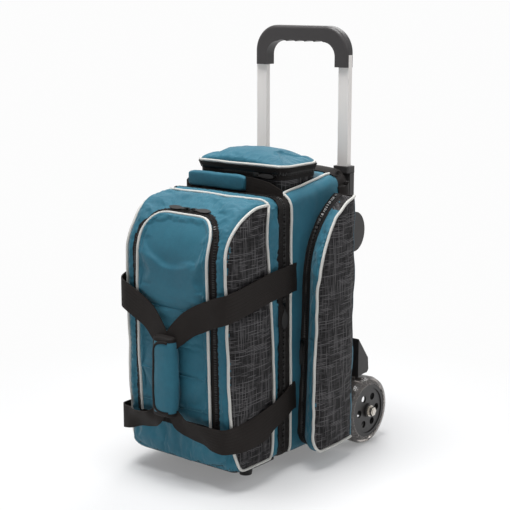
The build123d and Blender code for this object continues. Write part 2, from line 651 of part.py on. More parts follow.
def make_strap(name, side, rear_z, corner_z, grip_z):
    """One carrying strap, from its seam beside the pocket round the corner to the grip."""
    half = STRAP_WIDTH / 2
    x_in, x_out = HALF + STRAP_STANDOFF, HALF + STRAP_STANDOFF + STRAP_THICK
    front = STRAP_FRONT_Y - STRAP_THICK
    top = [(front, corner_z + half), (STRAP_ANCHOR_Y - 14, rear_z + half)]
    low = [(STRAP_ANCHOR_Y - 14, rear_z - half), (front, corner_z - half)]
    side_run = prism_x(make_face(Polyline(*top, *low, close=True)), x_in, x_out)
    seam_y = STRAP_ANCHOR_Y
    seat_x = HALF + CLEAR
    plan = [(x_in, seam_y - 14), (seat_x, seam_y - 4), (seat_x, seam_y + 6),
            (seat_x + STRAP_THICK, seam_y + 6), (seat_x + STRAP_THICK, seam_y - 4),
            (x_out, seam_y - 14)]
    seam = extrude(make_face(Polyline(*plan, close=True)), amount=STRAP_WIDTH)
    seam = Pos(0, 0, rear_z - half) * seam
    across = strap_band(WRAP_WIDTH / 2 - 12, grip_z, x_out, corner_z, front, STRAP_FRONT_Y)
    add(name, on_side(side_run + seam + across, side))


def make_wrap_handle():
    """Padded wrap that holds the straps together at the front."""
    middle = (UPPER_STRAP_GRIP_Z + LOWER_STRAP_GRIP_Z) / 2 + 6
    tall = Pos(0, WRAP_CENTRE_Y, middle - WRAP_LENGTH / 2)
    outer = extrude(RectangleRounded(WRAP_WIDTH, WRAP_DEPTH, 12), amount=WRAP_LENGTH)
    add("wrap_handle", tall * outer)


def make_carry_handle():
    """Top carrying handle: webbing, padded sleeve and its two sewn patches."""
    span, rise = CARRY_HALF_SPAN, CARRY_RISE
    y0, y1 = CARRY_Y - CARRY_WEB_HALF, CARRY_Y + CARRY_WEB_HALF
    z = CARRY_Z
    low = z + CARRY_STEP
    points = [(-span, z), (-span + CARRY_SLOPE_LEFT, z + rise),
              (span - CARRY_SLOPE_RIGHT, z + rise), (span, z), (span - CARRY_TAB, z),
              (span - CARRY_STEP_RIGHT, low), (-span + CARRY_STEP_LEFT, low),
              (-span + CARRY_TAB, z)]
    web = prism_y(make_face(Polyline(*points, close=True)), y0, y1)
    add("carry_webbing", web)
    half = SLEEVE_PAD_LENGTH / 2
    profile = RectangleRounded(SLEEVE_PAD_WIDTH, SLEEVE_PAD_THICK, SLEEVE_PAD_CORNER)
    pad = Pos(0, CARRY_Y, z + SLEEVE_PAD_LIFT) * Rot(0, 90, 0)
    pad = pad * extrude(profile, amount=half, both=True)
    pad = Pos(SLEEVE_PAD_CENTRE_X, 0, 0) * pad
    slot = box(-FAR, FAR, y0 - 0.1, y1 + 0.1, z - 1, z + rise + 0.1)
    add("carry_sleeve", pad - slot)
    patches = []
    for side in SIDES.values():
        end = CARRY_HALF_SPAN - PATCH_INSET
        patch = box(end - PATCH_LENGTH, end, CARRY_Y - PATCH_FRONT, CARRY_Y + PATCH_REAR,
                    z - PATCH_THICK - CLEAR, z - CLEAR)
        patch -= rear_block(CLEAR)
        patch -= rod_x(CARRY_WEB_HALF + CLEAR, 0, FAR, CARRY_Y, z)
        patches.append(on_side(patch, side))
    add("carry_patches", Compound(patches))


# ---------------------------------------------------------------- zipper sliders
def slider_solid():
    """Slider lying in X-Y with its back up: travel along Y and an arched bridge on top."""
    body = extrude(RectangleRounded(SLIDER_WIDTH, SLIDER_LENGTH, 3), amount=SLIDER_BODY)
    top = PULL_AXIS_HEIGHT + TAB_THICK / 2 + BRIDGE_ROOM
    bridge = Pos(0, 0, (SLIDER_BODY - 0.2 + top + 0.9) / 2)
    bridge = bridge * Box(BRIDGE_WIDTH, 6.8, top + 0.9 - SLIDER_BODY + 0.2)
    bridge -= Pos(0, 0, (SLIDER_BODY + top) / 2) * Box(9, 4.8, top - SLIDER_BODY)
    return body + bridge


def tab_solid(width):
    """Pull hanging along -Y from its ring, which lies round the bridge."""
    rail = 1.15
    inner = BRIDGE_WIDTH / 2 + BRIDGE_ROOM
    arm = Pos(0, 0.6 - TAB_ARM / 2) * Rectangle(2 * (inner + rail), TAB_ARM)
    arm -= Pos(0, -3.1) * Rectangle(2 * inner, 5)
    grip = Pos(0, -TAB_ARM - TAB_LENGTH / 2 + 3) * Ellipse(width / 2, TAB_LENGTH / 2)
    return extrude(arm + grip, amount=TAB_THICK / 2, both=True)


def add_slider(name, place, tab_width):
    """One slider and its pull, put in place by a location whose Z points off the fabric."""
    add(f"{name}_slider", place * slider_solid())
    add(f"{name}_pull", place * (Pos(0, 0, PULL_AXIS_HEIGHT) * tab_solid(tab_width)))


def seat_on(point, normal, up):
    """Location of a slider on a surface: Z along the normal and the pull pointing against up."""
    normal = Vector(*normal).normalized()
    up = Vector(*up)
    up = (up - normal * up.dot(normal)).normalized()
    origin = Vector(*point) + normal * CLEAR
    return Plane(origin=origin, x_dir=up.cross(normal), z_dir=normal).location


def make_sliders():
    """Sliders of the main zipper, the side pockets, the front door and the top pocket."""
    for name, side in SIDES.items():
        skin = (side * HALF, SPLIT_Y, MAIN_SLIDER_Z)
        add_slider(f"{name}_main", seat_on(skin, (side, 0, 0), (0, 0, 1)), WIDE_TAB)
        knee_start = POCKET_BOTTOM_Z + POCKET_FOOT_RADIUS
        rise = POCKET_KNEE_LEAN / (POCKET_KNEE_Z - knee_start)
        x = HALF + CLEAR + POCKET_BASE / 2
        y = POCKET_BASE_FRONT_Y + rise * (POCKET_SLIDER_Z - knee_start)
        skin = (side * x, y, POCKET_SLIDER_Z)
        place = seat_on(skin, (0, -1, rise), (0, 0, 1))
        add_slider(f"{name}_pocket", place, NARROW_TAB)
    shoulder = (SHOULDER_Y, SHOULDER_Z)
    y, z, radius = circle_through((0, BEND_Z), shoulder, (CREST_Y, TOP_FRONT_Z))
    seam_z = DOOR_TOP_Z + 7
    out_y = -sqrt(radius ** 2 - (seam_z - z) ** 2)
    for name, side in SIDES.items():
        skin = (side * (SLIDER_LENGTH / 2 + 1), y + out_y, seam_z)
        place = seat_on(skin, (0, out_y, seam_z - z), (-side, 0, 0))
        add_slider(f"{name}_door", place, NARROW_TAB)
    skin = (LID_SLIDER_X, LID_FRONT_Y + 3, LID_SEAM_Z - SLIDER_WIDTH / 2 - 0.6)
    add_slider("lid", seat_on(skin, (0, -1, 0), (-1, 0, 0)), NARROW_TAB - 1)


def write_parts():
    """Write one STEP file for each node."""
    os.makedirs("parts", exist_ok=True)
    for name, solid in nodes.items():
        export_step(Pos(0, -CENTRE_Y, 0) * solid, f"parts/{name}.step")


make_front_section()
make_rear_section()
for pocket_name, pocket_side in SIDES.items():
    make_side_pocket(pocket_name, pocket_side)
make_top_pocket()
make_pull_handle()
make_handle_sleeves()
make_chassis(make_back())
make_axle()
for wheel_name, wheel_side in SIDES.items():
    make_wheel(wheel_name, wheel_side)
for strap_name, strap_side in SIDES.items():
    make_strap(f"{strap_name}_upper_strap", strap_side, UPPER_STRAP_REAR_Z,
               UPPER_STRAP_CORNER_Z, UPPER_STRAP_GRIP_Z)
    make_strap(f"{strap_name}_lower_strap", strap_side, LOWER_STRAP_REAR_Z,
               LOWER_STRAP_CORNER_Z, LOWER_STRAP_GRIP_Z)
make_wrap_handle()
make_carry_handle()
make_sliders()
write_parts()
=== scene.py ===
"""Looks of a wheeled bag for two bowling balls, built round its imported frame. Units are metres.

Y is given from the plane of the front panel in the classes below and is moved into the row frame
by place(), which reads the frame for where that plane is. In their fields, a padding is a height
and the distance from a seam at which it is met; folds are a height, folds per metre and a seed;
a tape is a width and a thickness.
"""

import logging
import math
from dataclasses import dataclass, field
from enum import Enum, IntEnum
from typing import Callable, ClassVar, Iterable, Sequence

import bmesh
import bpy
import numpy as np
from mathutils import Matrix, Vector, noise
from mathutils.bvhtree import BVHTree
from mathutils.kdtree import KDTree


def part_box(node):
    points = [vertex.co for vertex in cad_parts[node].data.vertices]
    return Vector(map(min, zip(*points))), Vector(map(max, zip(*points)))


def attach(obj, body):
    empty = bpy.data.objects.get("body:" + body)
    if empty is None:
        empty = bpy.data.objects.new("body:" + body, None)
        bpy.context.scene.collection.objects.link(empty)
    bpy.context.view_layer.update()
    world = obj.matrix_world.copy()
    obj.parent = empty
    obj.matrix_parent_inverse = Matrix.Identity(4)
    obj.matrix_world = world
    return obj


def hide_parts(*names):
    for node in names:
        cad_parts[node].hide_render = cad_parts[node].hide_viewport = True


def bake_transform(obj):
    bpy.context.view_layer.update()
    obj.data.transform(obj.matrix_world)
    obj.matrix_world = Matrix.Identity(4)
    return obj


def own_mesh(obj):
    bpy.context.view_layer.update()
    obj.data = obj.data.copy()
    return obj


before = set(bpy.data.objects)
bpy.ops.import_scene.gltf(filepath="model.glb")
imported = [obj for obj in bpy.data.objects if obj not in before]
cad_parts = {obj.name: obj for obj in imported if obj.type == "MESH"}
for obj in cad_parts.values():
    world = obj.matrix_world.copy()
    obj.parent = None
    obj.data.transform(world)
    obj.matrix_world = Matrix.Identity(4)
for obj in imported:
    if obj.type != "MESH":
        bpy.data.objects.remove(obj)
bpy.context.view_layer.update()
LOG = logging.getLogger("bag")
Pair = tuple[float, float]
Point = tuple[float, float, float]
Rule = Callable[[Vector, Vector], int]
AXLE_FROM_FRONT = 0.363
FRONT_Y = sum(c.y for c in map(Vector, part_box("axle"))) / 2 - AXLE_FROM_FRONT
SIDES = {"left": -1, "right": 1}


class Body(Enum):
    """Bodies of the frame that the dressed pieces ride on."""

    REAR = "rear_body"
    FRONT = "front_section"
    FLAP = "door_flap"
    LID = "top_lid"
    CARRY = "carry_handle"


def place(x: float, y: float, z: float) -> Vector:
    """Return the row-frame point for a place whose Y is measured from the front panel."""
    return Vector((x, y + FRONT_Y, z))


def clamped(value: float) -> float:
    """Return a value limited to the range from 0 to 1."""
    return min(1.0, max(0.0, value))


def turns(number: int) -> list[float]:
    """Return a number of angles spread evenly round a circle."""
    return [2 * math.pi * k / number for k in range(number)]


# ---------------------------------------------------------------- mesh tools
def alone(obj: bpy.types.Object) -> None:
    """Select one object only and make it active.

    Args:
        obj: object to select.
    """
    if bpy.context.object and bpy.context.object.mode != "OBJECT":
        bpy.ops.object.mode_set(mode="OBJECT")
    bpy.ops.object.select_all(action="DESELECT")
    obj.select_set(True)
    bpy.context.view_layer.objects.active = obj


def new_mesh(name: str, points: Sequence, faces: Sequence) -> bpy.types.Object:
    """Make a mesh object from points and faces.

    Args:
        name: name of the new object.
        points: corner points in the row frame.
        faces: tuples of point numbers.

    Returns:
        The new object.
    """
    mesh = bpy.data.meshes.new(name)
    mesh.from_pydata([tuple(p) for p in points], [], [tuple(f) for f in faces])
    mesh.update()
    obj = bpy.data.objects.new(name, mesh)
    bpy.context.collection.objects.link(obj)
    return obj


def apply_modifier(obj: bpy.types.Object, kind: str, **values: object) -> None:
    """Add a modifier with the given settings and apply it.

    Args:
        obj: object that is changed.
        kind: Blender's modifier type.
        values: settings of the modifier.
    """
    alone(obj)
    modifier = obj.modifiers.new(kind.lower(), kind)
    for key, value in values.items():
        setattr(modifier, key, value)
    bpy.ops.object.modifier_apply(modifier=modifier.name)


def edit_mesh(obj: bpy.types.Object, **operators: dict) -> None:
    """Run mesh operators, named with their settings, on the whole of an object.

    Args:
        obj: object that is changed.
        operators: settings of each mesh operator, by its name.
    """
    alone(obj)
    bpy.ops.object.mode_set(mode="EDIT")
    for name, values in operators.items():
        bpy.ops.mesh.select_all(action="SELECT")
        getattr(bpy.ops.mesh, name)(**values)
    bpy.ops.object.mode_set(mode="OBJECT")


def smooth(obj: bpy.types.Object, angle: float = 40.0) -> None:
    """Shade an object smooth apart from edges sharper than an angle in degrees."""
    alone(obj)
    bpy.ops.object.shade_smooth_by_angle(angle=math.radians(angle))


def soften(obj: bpy.types.Object, rounds: int) -> None:
    """Round the corners of an even mesh off a little."""
    apply_modifier(obj, "SMOOTH", factor=0.5, iterations=rounds)


def coordinates(obj: bpy.types.Object) -> np.ndarray:
    """Return the vertex positions as an array with one row each.

    Args:
        obj: object to read.

    Returns:
        The positions.
    """
    flat = np.empty(len(obj.data.vertices) * 3)
    obj.data.vertices.foreach_get("co", flat)
    return flat.reshape(-1, 3)


def normals_of(obj: bpy.types.Object) -> np.ndarray:
    """Return the vertex normals as an array with one row each.

    Args:
        obj: object to read.

    Returns:
        The normals.
    """
    flat = np.empty(len(obj.data.vertices) * 3, np.float32)
    obj.data.vertex_normals.foreach_get("vector", flat)
    return flat.reshape(-1, 3).astype(float)


def set_coordinates(obj: bpy.types.Object, points: np.ndarray) -> None:
    """Write vertex positions back to an object."""
    obj.data.vertices.foreach_set("co", points.astype(np.float32).ravel())
    obj.data.update()


def vertices_where(obj: bpy.types.Object, rule: Callable) -> list[Vector]:
    """Return the places of the vertices that meet a rule on place and normal."""
    return [v.co.copy() for v in obj.data.vertices if rule(v.co, v.normal)]


def joined(parts: Sequence[bpy.types.Object]) -> bpy.types.Object:
    """Join mesh objects into the first one and return it.

    Args:
        parts: objects to join.

    Returns:
        The joined object.
    """
    alone(parts[0])
    for part in parts[1:]:
        part.select_set(True)
    if len(parts) > 1:
        bpy.ops.object.join()
    return parts[0]


def copy_of(name: str, *nodes: str) -> bpy.types.Object:
    """Return one merged copy of some frame nodes, to be reshaped as cloth.

    Args:
        name: name of the copy.
        nodes: frame nodes to copy.

    Returns:
        The copy, without materials.
    """
    parts = []
    for node in nodes:
        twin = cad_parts[node].copy()
        twin.data = twin.data.copy()
        twin.parent = None
        twin.matrix_world = Matrix.Identity(4)
        bpy.context.collection.objects.link(twin)
        parts.append(twin)
    obj = joined(parts)
    for key in list(obj.keys()):
        del obj[key]
    obj.name = name
    obj.data.materials.clear()
    edit_mesh(obj, remove_doubles={"threshold": 1e-5})
    return obj


def hull_of(name: str, *nodes: str) -> bpy.types.Object:
    """Return the solid outer shape of some convex frame nodes.

    Args:
        name: name of the shape.
        nodes: frame nodes that it encloses.

    Returns:
        The closed shape.
    """
    obj = copy_of(name, *nodes)
    edit_mesh(obj, convex_hull={}, normals_make_consistent={"inside": False})
    return obj


def remesh(obj: bpy.types.Object, voxel: float) -> None:
    """Rebuild an object with even faces of about one voxel."""
    apply_modifier(obj, "REMESH", mode="VOXEL", voxel_size=voxel, use_smooth_shade=True)


def delete_faces(obj: bpy.types.Object, rule: Callable[[Vector, Vector], bool]) -> None:
    """Delete the faces whose centre and normal meet a rule.

    Args:
        obj: object that is changed.
        rule: tells from centre and normal whether a face goes.
    """
    mesh = bmesh.new()
    mesh.from_mesh(obj.data)
    doomed = [f for f in mesh.faces if rule(f.calc_center_median(), f.normal)]
    bmesh.ops.delete(mesh, geom=doomed, context="FACES")
    mesh.to_mesh(obj.data)
    mesh.free()


def dress(obj: bpy.types.Object, body: "Body | str | None", slot: str,
          *materials: bpy.types.Material) -> bpy.types.Object:
    """Give a piece its materials and body, and log it.

    Args:
        obj: the finished piece.
        body: body that it rides on, or None to leave it unattached.
        slot: not used.
        materials: materials in the order of the faces' numbers.

    Returns:
        The same object.
    """
    numbers = [face.material_index for face in obj.data.polygons]
    obj.data.materials.clear()
    for material in materials:
        obj.data.materials.append(material)
    obj.data.polygons.foreach_set("material_index", numbers)
    if body:
        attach(obj, body.value if isinstance(body, Body) else body)
    LOG.info("%s: %d faces", obj.name, len(obj.data.polygons))
    return obj


def run_lengths(points: Sequence[Vector]) -> list[float]:
    """Return how far along a line each of its points lies.

    Args:
        points: points on the line.

    Returns:
        The length from the first point to each one.
    """
    lengths = [0.0]
    for a, b in zip(points, points[1:]):
        lengths.append(lengths[-1] + (b - a).length)
    return lengths


def catmull(points: Sequence[Vector], step: float, closed: bool = False) -> list[Vector]:
    """Return evenly spaced points on a smooth curve through the given ones.

    Args:
        points: places to pass through.
        step: distance between new points.
        closed: whether the curve closes on itself.

    Returns:
        The new points.
    """
    pts = [Vector(p) for p in points]
    count = len(pts)
    dense: list[Vector] = []
    for i in range(count if closed else count - 1):
        if closed:
            a, b, c, d = (pts[(i + k) % count] for k in (-1, 0, 1, 2))
        else:
            b, c = pts[i], pts[i + 1]
            a = pts[i - 1] if i else b * 2 - c
            d = pts[i + 2] if i + 2 < count else c * 2 - b
        for t in (k / 16 for k in range(16)):
            dense.append(0.5 * ((2 * b) + (c - a) * t + (2 * a - 5 * b + 4 * c - d) * t * t
                                + (3 * b - a - 3 * c + d) * t ** 3))
    dense.append(pts[0].copy() if closed else pts[-1].copy())
    lengths = run_lengths(dense)
    number = max(2, round(lengths[-1] / step))
    result, j = [], 0
    for i in range(number + (0 if closed else 1)):
        goal = lengths[-1] * i / number
        while j < len(lengths) - 2 and lengths[j + 1] < goal:
            j += 1
        share = (goal - lengths[j]) / max(lengths[j + 1] - lengths[j], 1e-9)
        result.append(dense[j].lerp(dense[j + 1], share))
    return result


def surface_of(target: bpy.types.Object) -> BVHTree:
    """Return a search tree of an object's faces."""
    return BVHTree.FromPolygons([v.co for v in target.data.vertices],
                                [p.vertices for p in target.data.polygons])


def laid_on(points: Iterable[Vector], target: bpy.types.Object, lift: float = 0.0) -> tuple:
    """Lay points on the nearest surface of an object.

    Args:
        points: points near the surface.
        target: object whose surface they are laid on.
        lift: height above the surface.

    Returns:
        The laid points and the surface normals there.
    """
    tree = surface_of(target)
    laid, normals = [], []
    for point in points:
        near, normal, _, _ = tree.find_nearest(point)
        laid.append(near + normal * lift)
        normals.append(normal.copy())
    for _ in range(2):
        normals = [(normals[max(i - 1, 0)] + n * 2 + normals[min(i + 1, len(normals) - 1)])
                   .normalized() for i, n in enumerate(normals)]
    return laid, normals


def struck(points: Iterable[Vector], target: bpy.types.Object) -> tuple:
    """Push points backwards until they meet a surface.

    Args:
        points: points in front of the surface.
        target: object that they meet.

    Returns:
        The points that met it and the surface normals there.
    """
    tree = surface_of(target)
    met = [tree.ray_cast(p, Vector((0, 1, 0)))[:2] for p in points]
    return [m[0] for m in met if m[0]], [m[1].copy() for m in met if m[0]]


def directions(points: Sequence[Vector], closed: bool) -> list[Vector]:
    """Return the direction of a line at each of its points.

    Args:
        points: points on the line.
        closed: whether it closes on itself.

    Returns:
        Unit vectors along the line.
    """
    result = []
    for i in range(len(points)):
        a = points[i - 1] if closed or i else points[0]
        b = points[(i + 1) % len(points)] if closed else points[min(i + 1, len(points) - 1)]
        result.append((b - a).normalized())
    return result


def swept(name: str, rings: Sequence[Sequence[Vector]], closed: bool) -> bpy.types.Object:
    """Join equal rings of points, one after the other, to a solid with closed ends.

    Args:
        name: name of the solid.
        rings: rings of equally many points.
        closed: whether the last ring meets the first.

    Returns:
        The solid.
    """
    sides, count = len(rings[0]), len(rings)
    faces = []
    for i in range(count if closed else count - 1):
        j = (i + 1) % count
        for k in range(sides):
            m = (k + 1) % sides
            faces.append((i * sides + k, i * sides + m, j * sides + m, j * sides + k))
    if not closed:
        faces.append(tuple(range(sides))[::-1])
        faces.append(tuple((count - 1) * sides + k for k in range(sides)))
    return new_mesh(name, [p for ring in rings for p in ring], faces)


def tube(name: str, points: Sequence[Vector], radius: float, closed: bool = False,
         sides: int = 8) -> bpy.types.Object:
    """Sweep a round section along points, with closed ends.

    Args:
        name: name of the tube.
        points: its middle line.
        radius: radius of its section.
        closed: whether the line closes on itself.
        sides: number of sides of its section.

    Returns:
        The tube.
    """
    ways = directions(points, closed)
    normal = ways[0].orthogonal().normalized()
    rings = []
    for point, way in zip(points, ways):
        normal = (normal - way * normal.dot(way)).normalized()
        side = way.cross(normal)
        rings.append([point + (normal * math.cos(t) + side * math.sin(t)) * radius
                      for t in turns(sides)])
    obj = swept(name, rings, closed)
    smooth(obj, 60)
    return obj


def ribbon(name: str, points: Sequence[Vector], normals: Sequence[Vector], width: float,
           thick: float, closed: bool = False, across: int = 4,
           crown: float = 0.0, sideways: Sequence[Vector] | None = None) -> bpy.types.Object:
    """Sweep a flat band along points that lie on a surface, with a UV map along it.

    Args:
        name: name of the band.
        points: middle line of its underside.
        normals: surface normals at the points.
        width: width of the band.
        thick: thickness of the band.
        closed: whether the line closes on itself.
        across: faces across the width.
        crown: extra height of the middle.
        sideways: directions across the band, where they aren't square to the line.

    Returns:
        The band as a closed mesh.
    """
    ways, runs = directions(points, closed), run_lengths(points)
    shares = [k / across - 0.5 for k in range(across + 1)]
    rings, uvs = [], []
    for i, (point, normal) in enumerate(zip(points, normals)):
        side = sideways[i] if sideways else ways[i].cross(normal).normalized()
        low = [point + side * width * share for share in shares]
        top = [base + normal * (thick + crown * (1 - (2 * share) ** 2))
               for base, share in zip(low, shares)]
        rings.append(top + low[::-1])
        uvs += [(runs[i], width * share) for share in shares + shares[::-1]]
    obj = swept(name, rings, closed)
    layer = obj.data.uv_layers.new(name="Along")
    for loop in obj.data.loops:
        layer.data[loop.index].uv = uvs[loop.vertex_index]
    edit_mesh(obj, normals_make_consistent={"inside": False})
    smooth(obj, 35)
    return obj


# ---------------------------------------------------------------- shader tools
Colour = tuple[float, float, float]
Value = float | bpy.types.NodeSocket
WHOLE_TURN = 2 * math.pi


class Graph:
    """Adds shader nodes to a tree and links them."""

    def __init__(self, tree: bpy.types.NodeTree) -> None:
        """Keep the tree that nodes are added to."""
        self.tree = tree

    def put(self, node: bpy.types.Node, inputs: dict) -> bpy.types.Node:
        """Set sockets of a node, by name or number; a socket as value is linked.

        Args:
            node: node that is changed.
            inputs: values or sockets.

        Returns:
            The same node.
        """
        for key, value in inputs.items():
            if isinstance(value, bpy.types.NodeSocket):
                self.tree.links.new(value, node.inputs[key])
            else:
                node.inputs[key].default_value = value
        return node

    def add(self, kind: str, inputs: dict | None = None,
            **values: object) -> "bpy.types.NodeOutputs":
        """Add a node and return its outputs.

        Args:
            kind: node type without its ShaderNode prefix.
            inputs: sockets to set, as for put().
            values: properties of the node.

        Returns:
            The outputs of the new node.
        """
        node = self.tree.nodes.new("ShaderNode" + kind)
        for key, value in values.items():
            setattr(node, key, value)
        return self.put(node, inputs or {}).outputs

    def math(self, operation: str, *values: Value) -> bpy.types.NodeSocket:
        """Return the result of a maths node on numbers or sockets."""
        return self.add("Math", dict(enumerate(values)), operation=operation)[0]

    def times(self, first: Value, second: Value) -> bpy.types.NodeSocket:
        """Return a product."""
        return self.math("MULTIPLY", first, second)

    def noise(self, where: Value, scale: Value, **inputs: Value) -> bpy.types.NodeSocket:
        """Return the value of a noise texture."""
        return self.add("TexNoise", {"Vector": where, "Scale": scale, **inputs})[0]

    def ramp(self, value: Value, low: Value, high: Value, start: Value = 0.0,
             end: Value = 1.0, **values: str) -> bpy.types.NodeSocket:
        """Return a value moved from the range low to high into the range start to end."""
        return self.add("MapRange", dict(enumerate((value, low, high, start, end))), **values)[0]

    def mix(self, share: Value, first: Value | tuple,
            second: Value | tuple) -> bpy.types.NodeSocket:
        """Return a blend of two colours."""
        return self.add("Mix", {0: share, 6: first, 7: second}, data_type="RGBA")[2]

    def bump(self, height: Value, strength: float, distance: float,
             **inputs: Value) -> bpy.types.NodeSocket:
        """Return the normal of a surface with a height pattern."""
        return self.add("Bump", {"Height": height, "Strength": strength, "Distance": distance,
                                 **inputs})[0]

    def group(self, tree: bpy.types.NodeTree, **inputs: Value) -> "bpy.types.NodeOutputs":
        """Place a node group with its own values and return its outputs."""
        return self.add("Group", inputs, node_tree=tree)


class Group(Graph):
    """Shader node group with a Vector, some numbers as inputs, and numbers as outputs."""

    def __init__(self, name: str, **inputs: float) -> None:
        """Start the group with the default of each number.

        Args:
            name: name of the group.
            inputs: default of each number.
        """
        super().__init__(bpy.data.node_groups.new(name, "ShaderNodeTree"))
        sockets = self.tree.interface
        sockets.new_socket("Vector", in_out="INPUT", socket_type="NodeSocketVector")
        for key, value in inputs.items():
            socket = sockets.new_socket(key, in_out="INPUT", socket_type="NodeSocketFloat")
            socket.default_value = value
        self.given = self.tree.nodes.new("NodeGroupInput").outputs

    def done(self, **outputs: bpy.types.NodeSocket) -> bpy.types.NodeTree:
        """Link the outputs and return the finished group.

        Args:
            outputs: sockets to put out, by name.

        Returns:
            The tree of the group.
        """
        for key in outputs:
            self.tree.interface.new_socket(key, in_out="OUTPUT", socket_type="NodeSocketFloat")
        self.put(self.tree.nodes.new("NodeGroupOutput"), outputs)
        return self.tree


class Effects:
    """Shader node groups that several finishes share."""

    def __init__(self) -> None:
        """Build every group once."""
        self.weave = self.build_weave()
        self.hatch = self.build_hatch()
        self.cloud = self.build_cloud()
        self.ribs = self.build_ribs()

    @staticmethod
    def build_weave() -> bpy.types.NodeTree:
        """Return a plain weave that works on faces of any direction, with a colour output of
        random grain and painted sheen.

        Returns:
            The node group.
        """
        g = Group("Plain weave", Pitch=0.0009)
        split = g.add("SeparateXYZ", {0: g.given["Vector"]})
        x, y, z = (g.math("SINE", g.times(g.math("DIVIDE", split[axis], g.given["Pitch"]),
                                          WHOLE_TURN)) for axis in range(3))
        height = g.math("ADD", g.math("ADD", g.times(x, z), g.times(y, z)), g.times(x, y))
        grain = g.noise(g.given["Vector"], 900.0, Detail=2.0)
        # Thread: noise grain plus painted sheen, the weave's height making the raised threads
        # lighter
        return g.done(Height=height, Thread=g.math("ADD", g.times(height, 0.25), grain))

    @staticmethod
    def build_cloud() -> bpy.types.NodeTree:
        """Return soft uneven tone and a mask of dusty patches.

        Returns:
            The node group.
        """
        g = Group("Cloudy tone", Scale=9.0)
        broad = g.noise(g.given["Vector"], g.given["Scale"], Detail=4.0, Roughness=0.6)
        fine = g.noise(g.given["Vector"], 160.0, Detail=3.0)
        return g.done(Tone=g.math("ADD", g.times(broad, 0.75), g.times(fine, 0.25)),
                      Dust=g.ramp(g.times(broad, fine), 0.3, 0.5))

    @staticmethod
    def build_hatch() -> bpy.types.NodeTree:
        """Return a cloth pattern of thin broken lines that cross at right angles.

        Returns:
            The node group.
        """
        g = Group("Cross hatch", Pitch=0.0025, Fill=0.50)
        split = g.add("SeparateXYZ", {0: g.given["Vector"]})
        along, up = g.math("ADD", split[0], split[1]), split[2]
        wobble = g.noise(g.given["Vector"], 45.0)
        shift = g.times(g.math("SUBTRACT", wobble, 0.5), 0.0009)

        def lines(run: Value, across: Value, pitch_share: float, seed: float,
                  stretch: float) -> bpy.types.NodeSocket:
            """Return one set of broken lines that follow run.

            Args:
                run: place along the lines.
                across: place across them.
                pitch_share: share of the group's pitch.
                seed: place in the noise.
                stretch: how often a line breaks.

            Returns:
                A mask of the lines.
            """
            pitch = g.times(g.given["Pitch"], pitch_share)
            row = g.math("DIVIDE", g.math("ADD", across, shift), pitch)
            number = g.math("FLOOR", row)
            offset = g.math("ABSOLUTE", g.math("SUBTRACT", g.math("SUBTRACT", row, number), 0.5))
            spot = g.add("CombineXYZ", {0: g.times(run, stretch), 1: g.times(number, 3.71),
                                        2: seed})
            chance = g.noise(spot[0], 1.0, Detail=1.0)
            shown = g.ramp(chance, g.given["Fill"], g.math("ADD", g.given["Fill"], 0.12))
            width = g.times(chance, 0.42)
            return g.times(shown, g.ramp(offset, g.times(width, 0.55), width, 1.0, 0.0))

        bold = g.math("MAXIMUM", lines(along, up, 1.0, 1.3, 24.0),
                      lines(up, along, 1.0, 7.9, 20.0))
        faint = g.math("MAXIMUM", lines(along, up, 0.57, 4.1, 46.0),
                       lines(up, along, 0.61, 2.6, 40.0))
        patch = g.add("TexVoronoi", {"Vector": g.given["Vector"], "Scale": 48.0},
                      distance="CHEBYCHEV")
        return g.done(Lines=g.math("MAXIMUM", bold, g.times(faint, 0.35)),
                      Patch=patch["Distance"])

    @staticmethod
    def build_ribs() -> bpy.types.NodeTree:
        """Return the herringbone ribs of woven webbing, along a UV map in metres.

        Returns:
            The node group.
        """
        g = Group("Webbing ribs", Pitch=0.0022)
        fold = 0.003
        split = g.add("SeparateXYZ", {0: g.given["Vector"]})
        slant = g.math("ADD", split[0], g.math("PINGPONG", split[1], fold))
        rib = g.math("SINE", g.times(g.math("DIVIDE", slant, g.given["Pitch"]), WHOLE_TURN))
        column = g.math("SINE", g.times(split[1], WHOLE_TURN / fold))
        return g.done(Height=g.math("ADD", rib, g.times(column, 0.4)))


def start_material(name: str, coordinate: str = "Object") -> tuple:
    """Start a material.

    Args:
        name: name of the material.
        coordinate: texture coordinate that its pattern follows.

    Returns:
        The material, a Graph on it, its Principled node and its coordinate socket.
    """
    material = bpy.data.materials.new(name)
    material.use_nodes = True
    graph = Graph(material.node_tree)
    shader = material.node_tree.nodes["Principled BSDF"]
    return material, graph, shader, graph.add("TexCoord")[coordinate]


@dataclass(frozen=True)
class Finish:
    """Surface finish between a dark and a light tone."""

    name: str
    dark: Colour
    light: Colour
    roughness: float = 0.5
    coordinate: ClassVar[str] = "Object"

    def build(self, effects: Effects) -> bpy.types.Material:
        """Return the material.

        Args:
            effects: node groups that finishes share.

        Returns:
            The material.
        """
        material, g, shader, where = start_material(self.name, self.coordinate)
        g.put(shader, self.sockets(g, where, effects))
        return material

    def tone(self, g: Graph, share: Value) -> bpy.types.NodeSocket:
        """Return the colour at a share of the way from dark to light."""
        return g.mix(share, (*self.dark, 1), (*self.light, 1))

    def sockets(self, g: Graph, where: Value, fx: Effects) -> dict:
        """Return what the shader is given, by the names of its sockets."""
        raise NotImplementedError


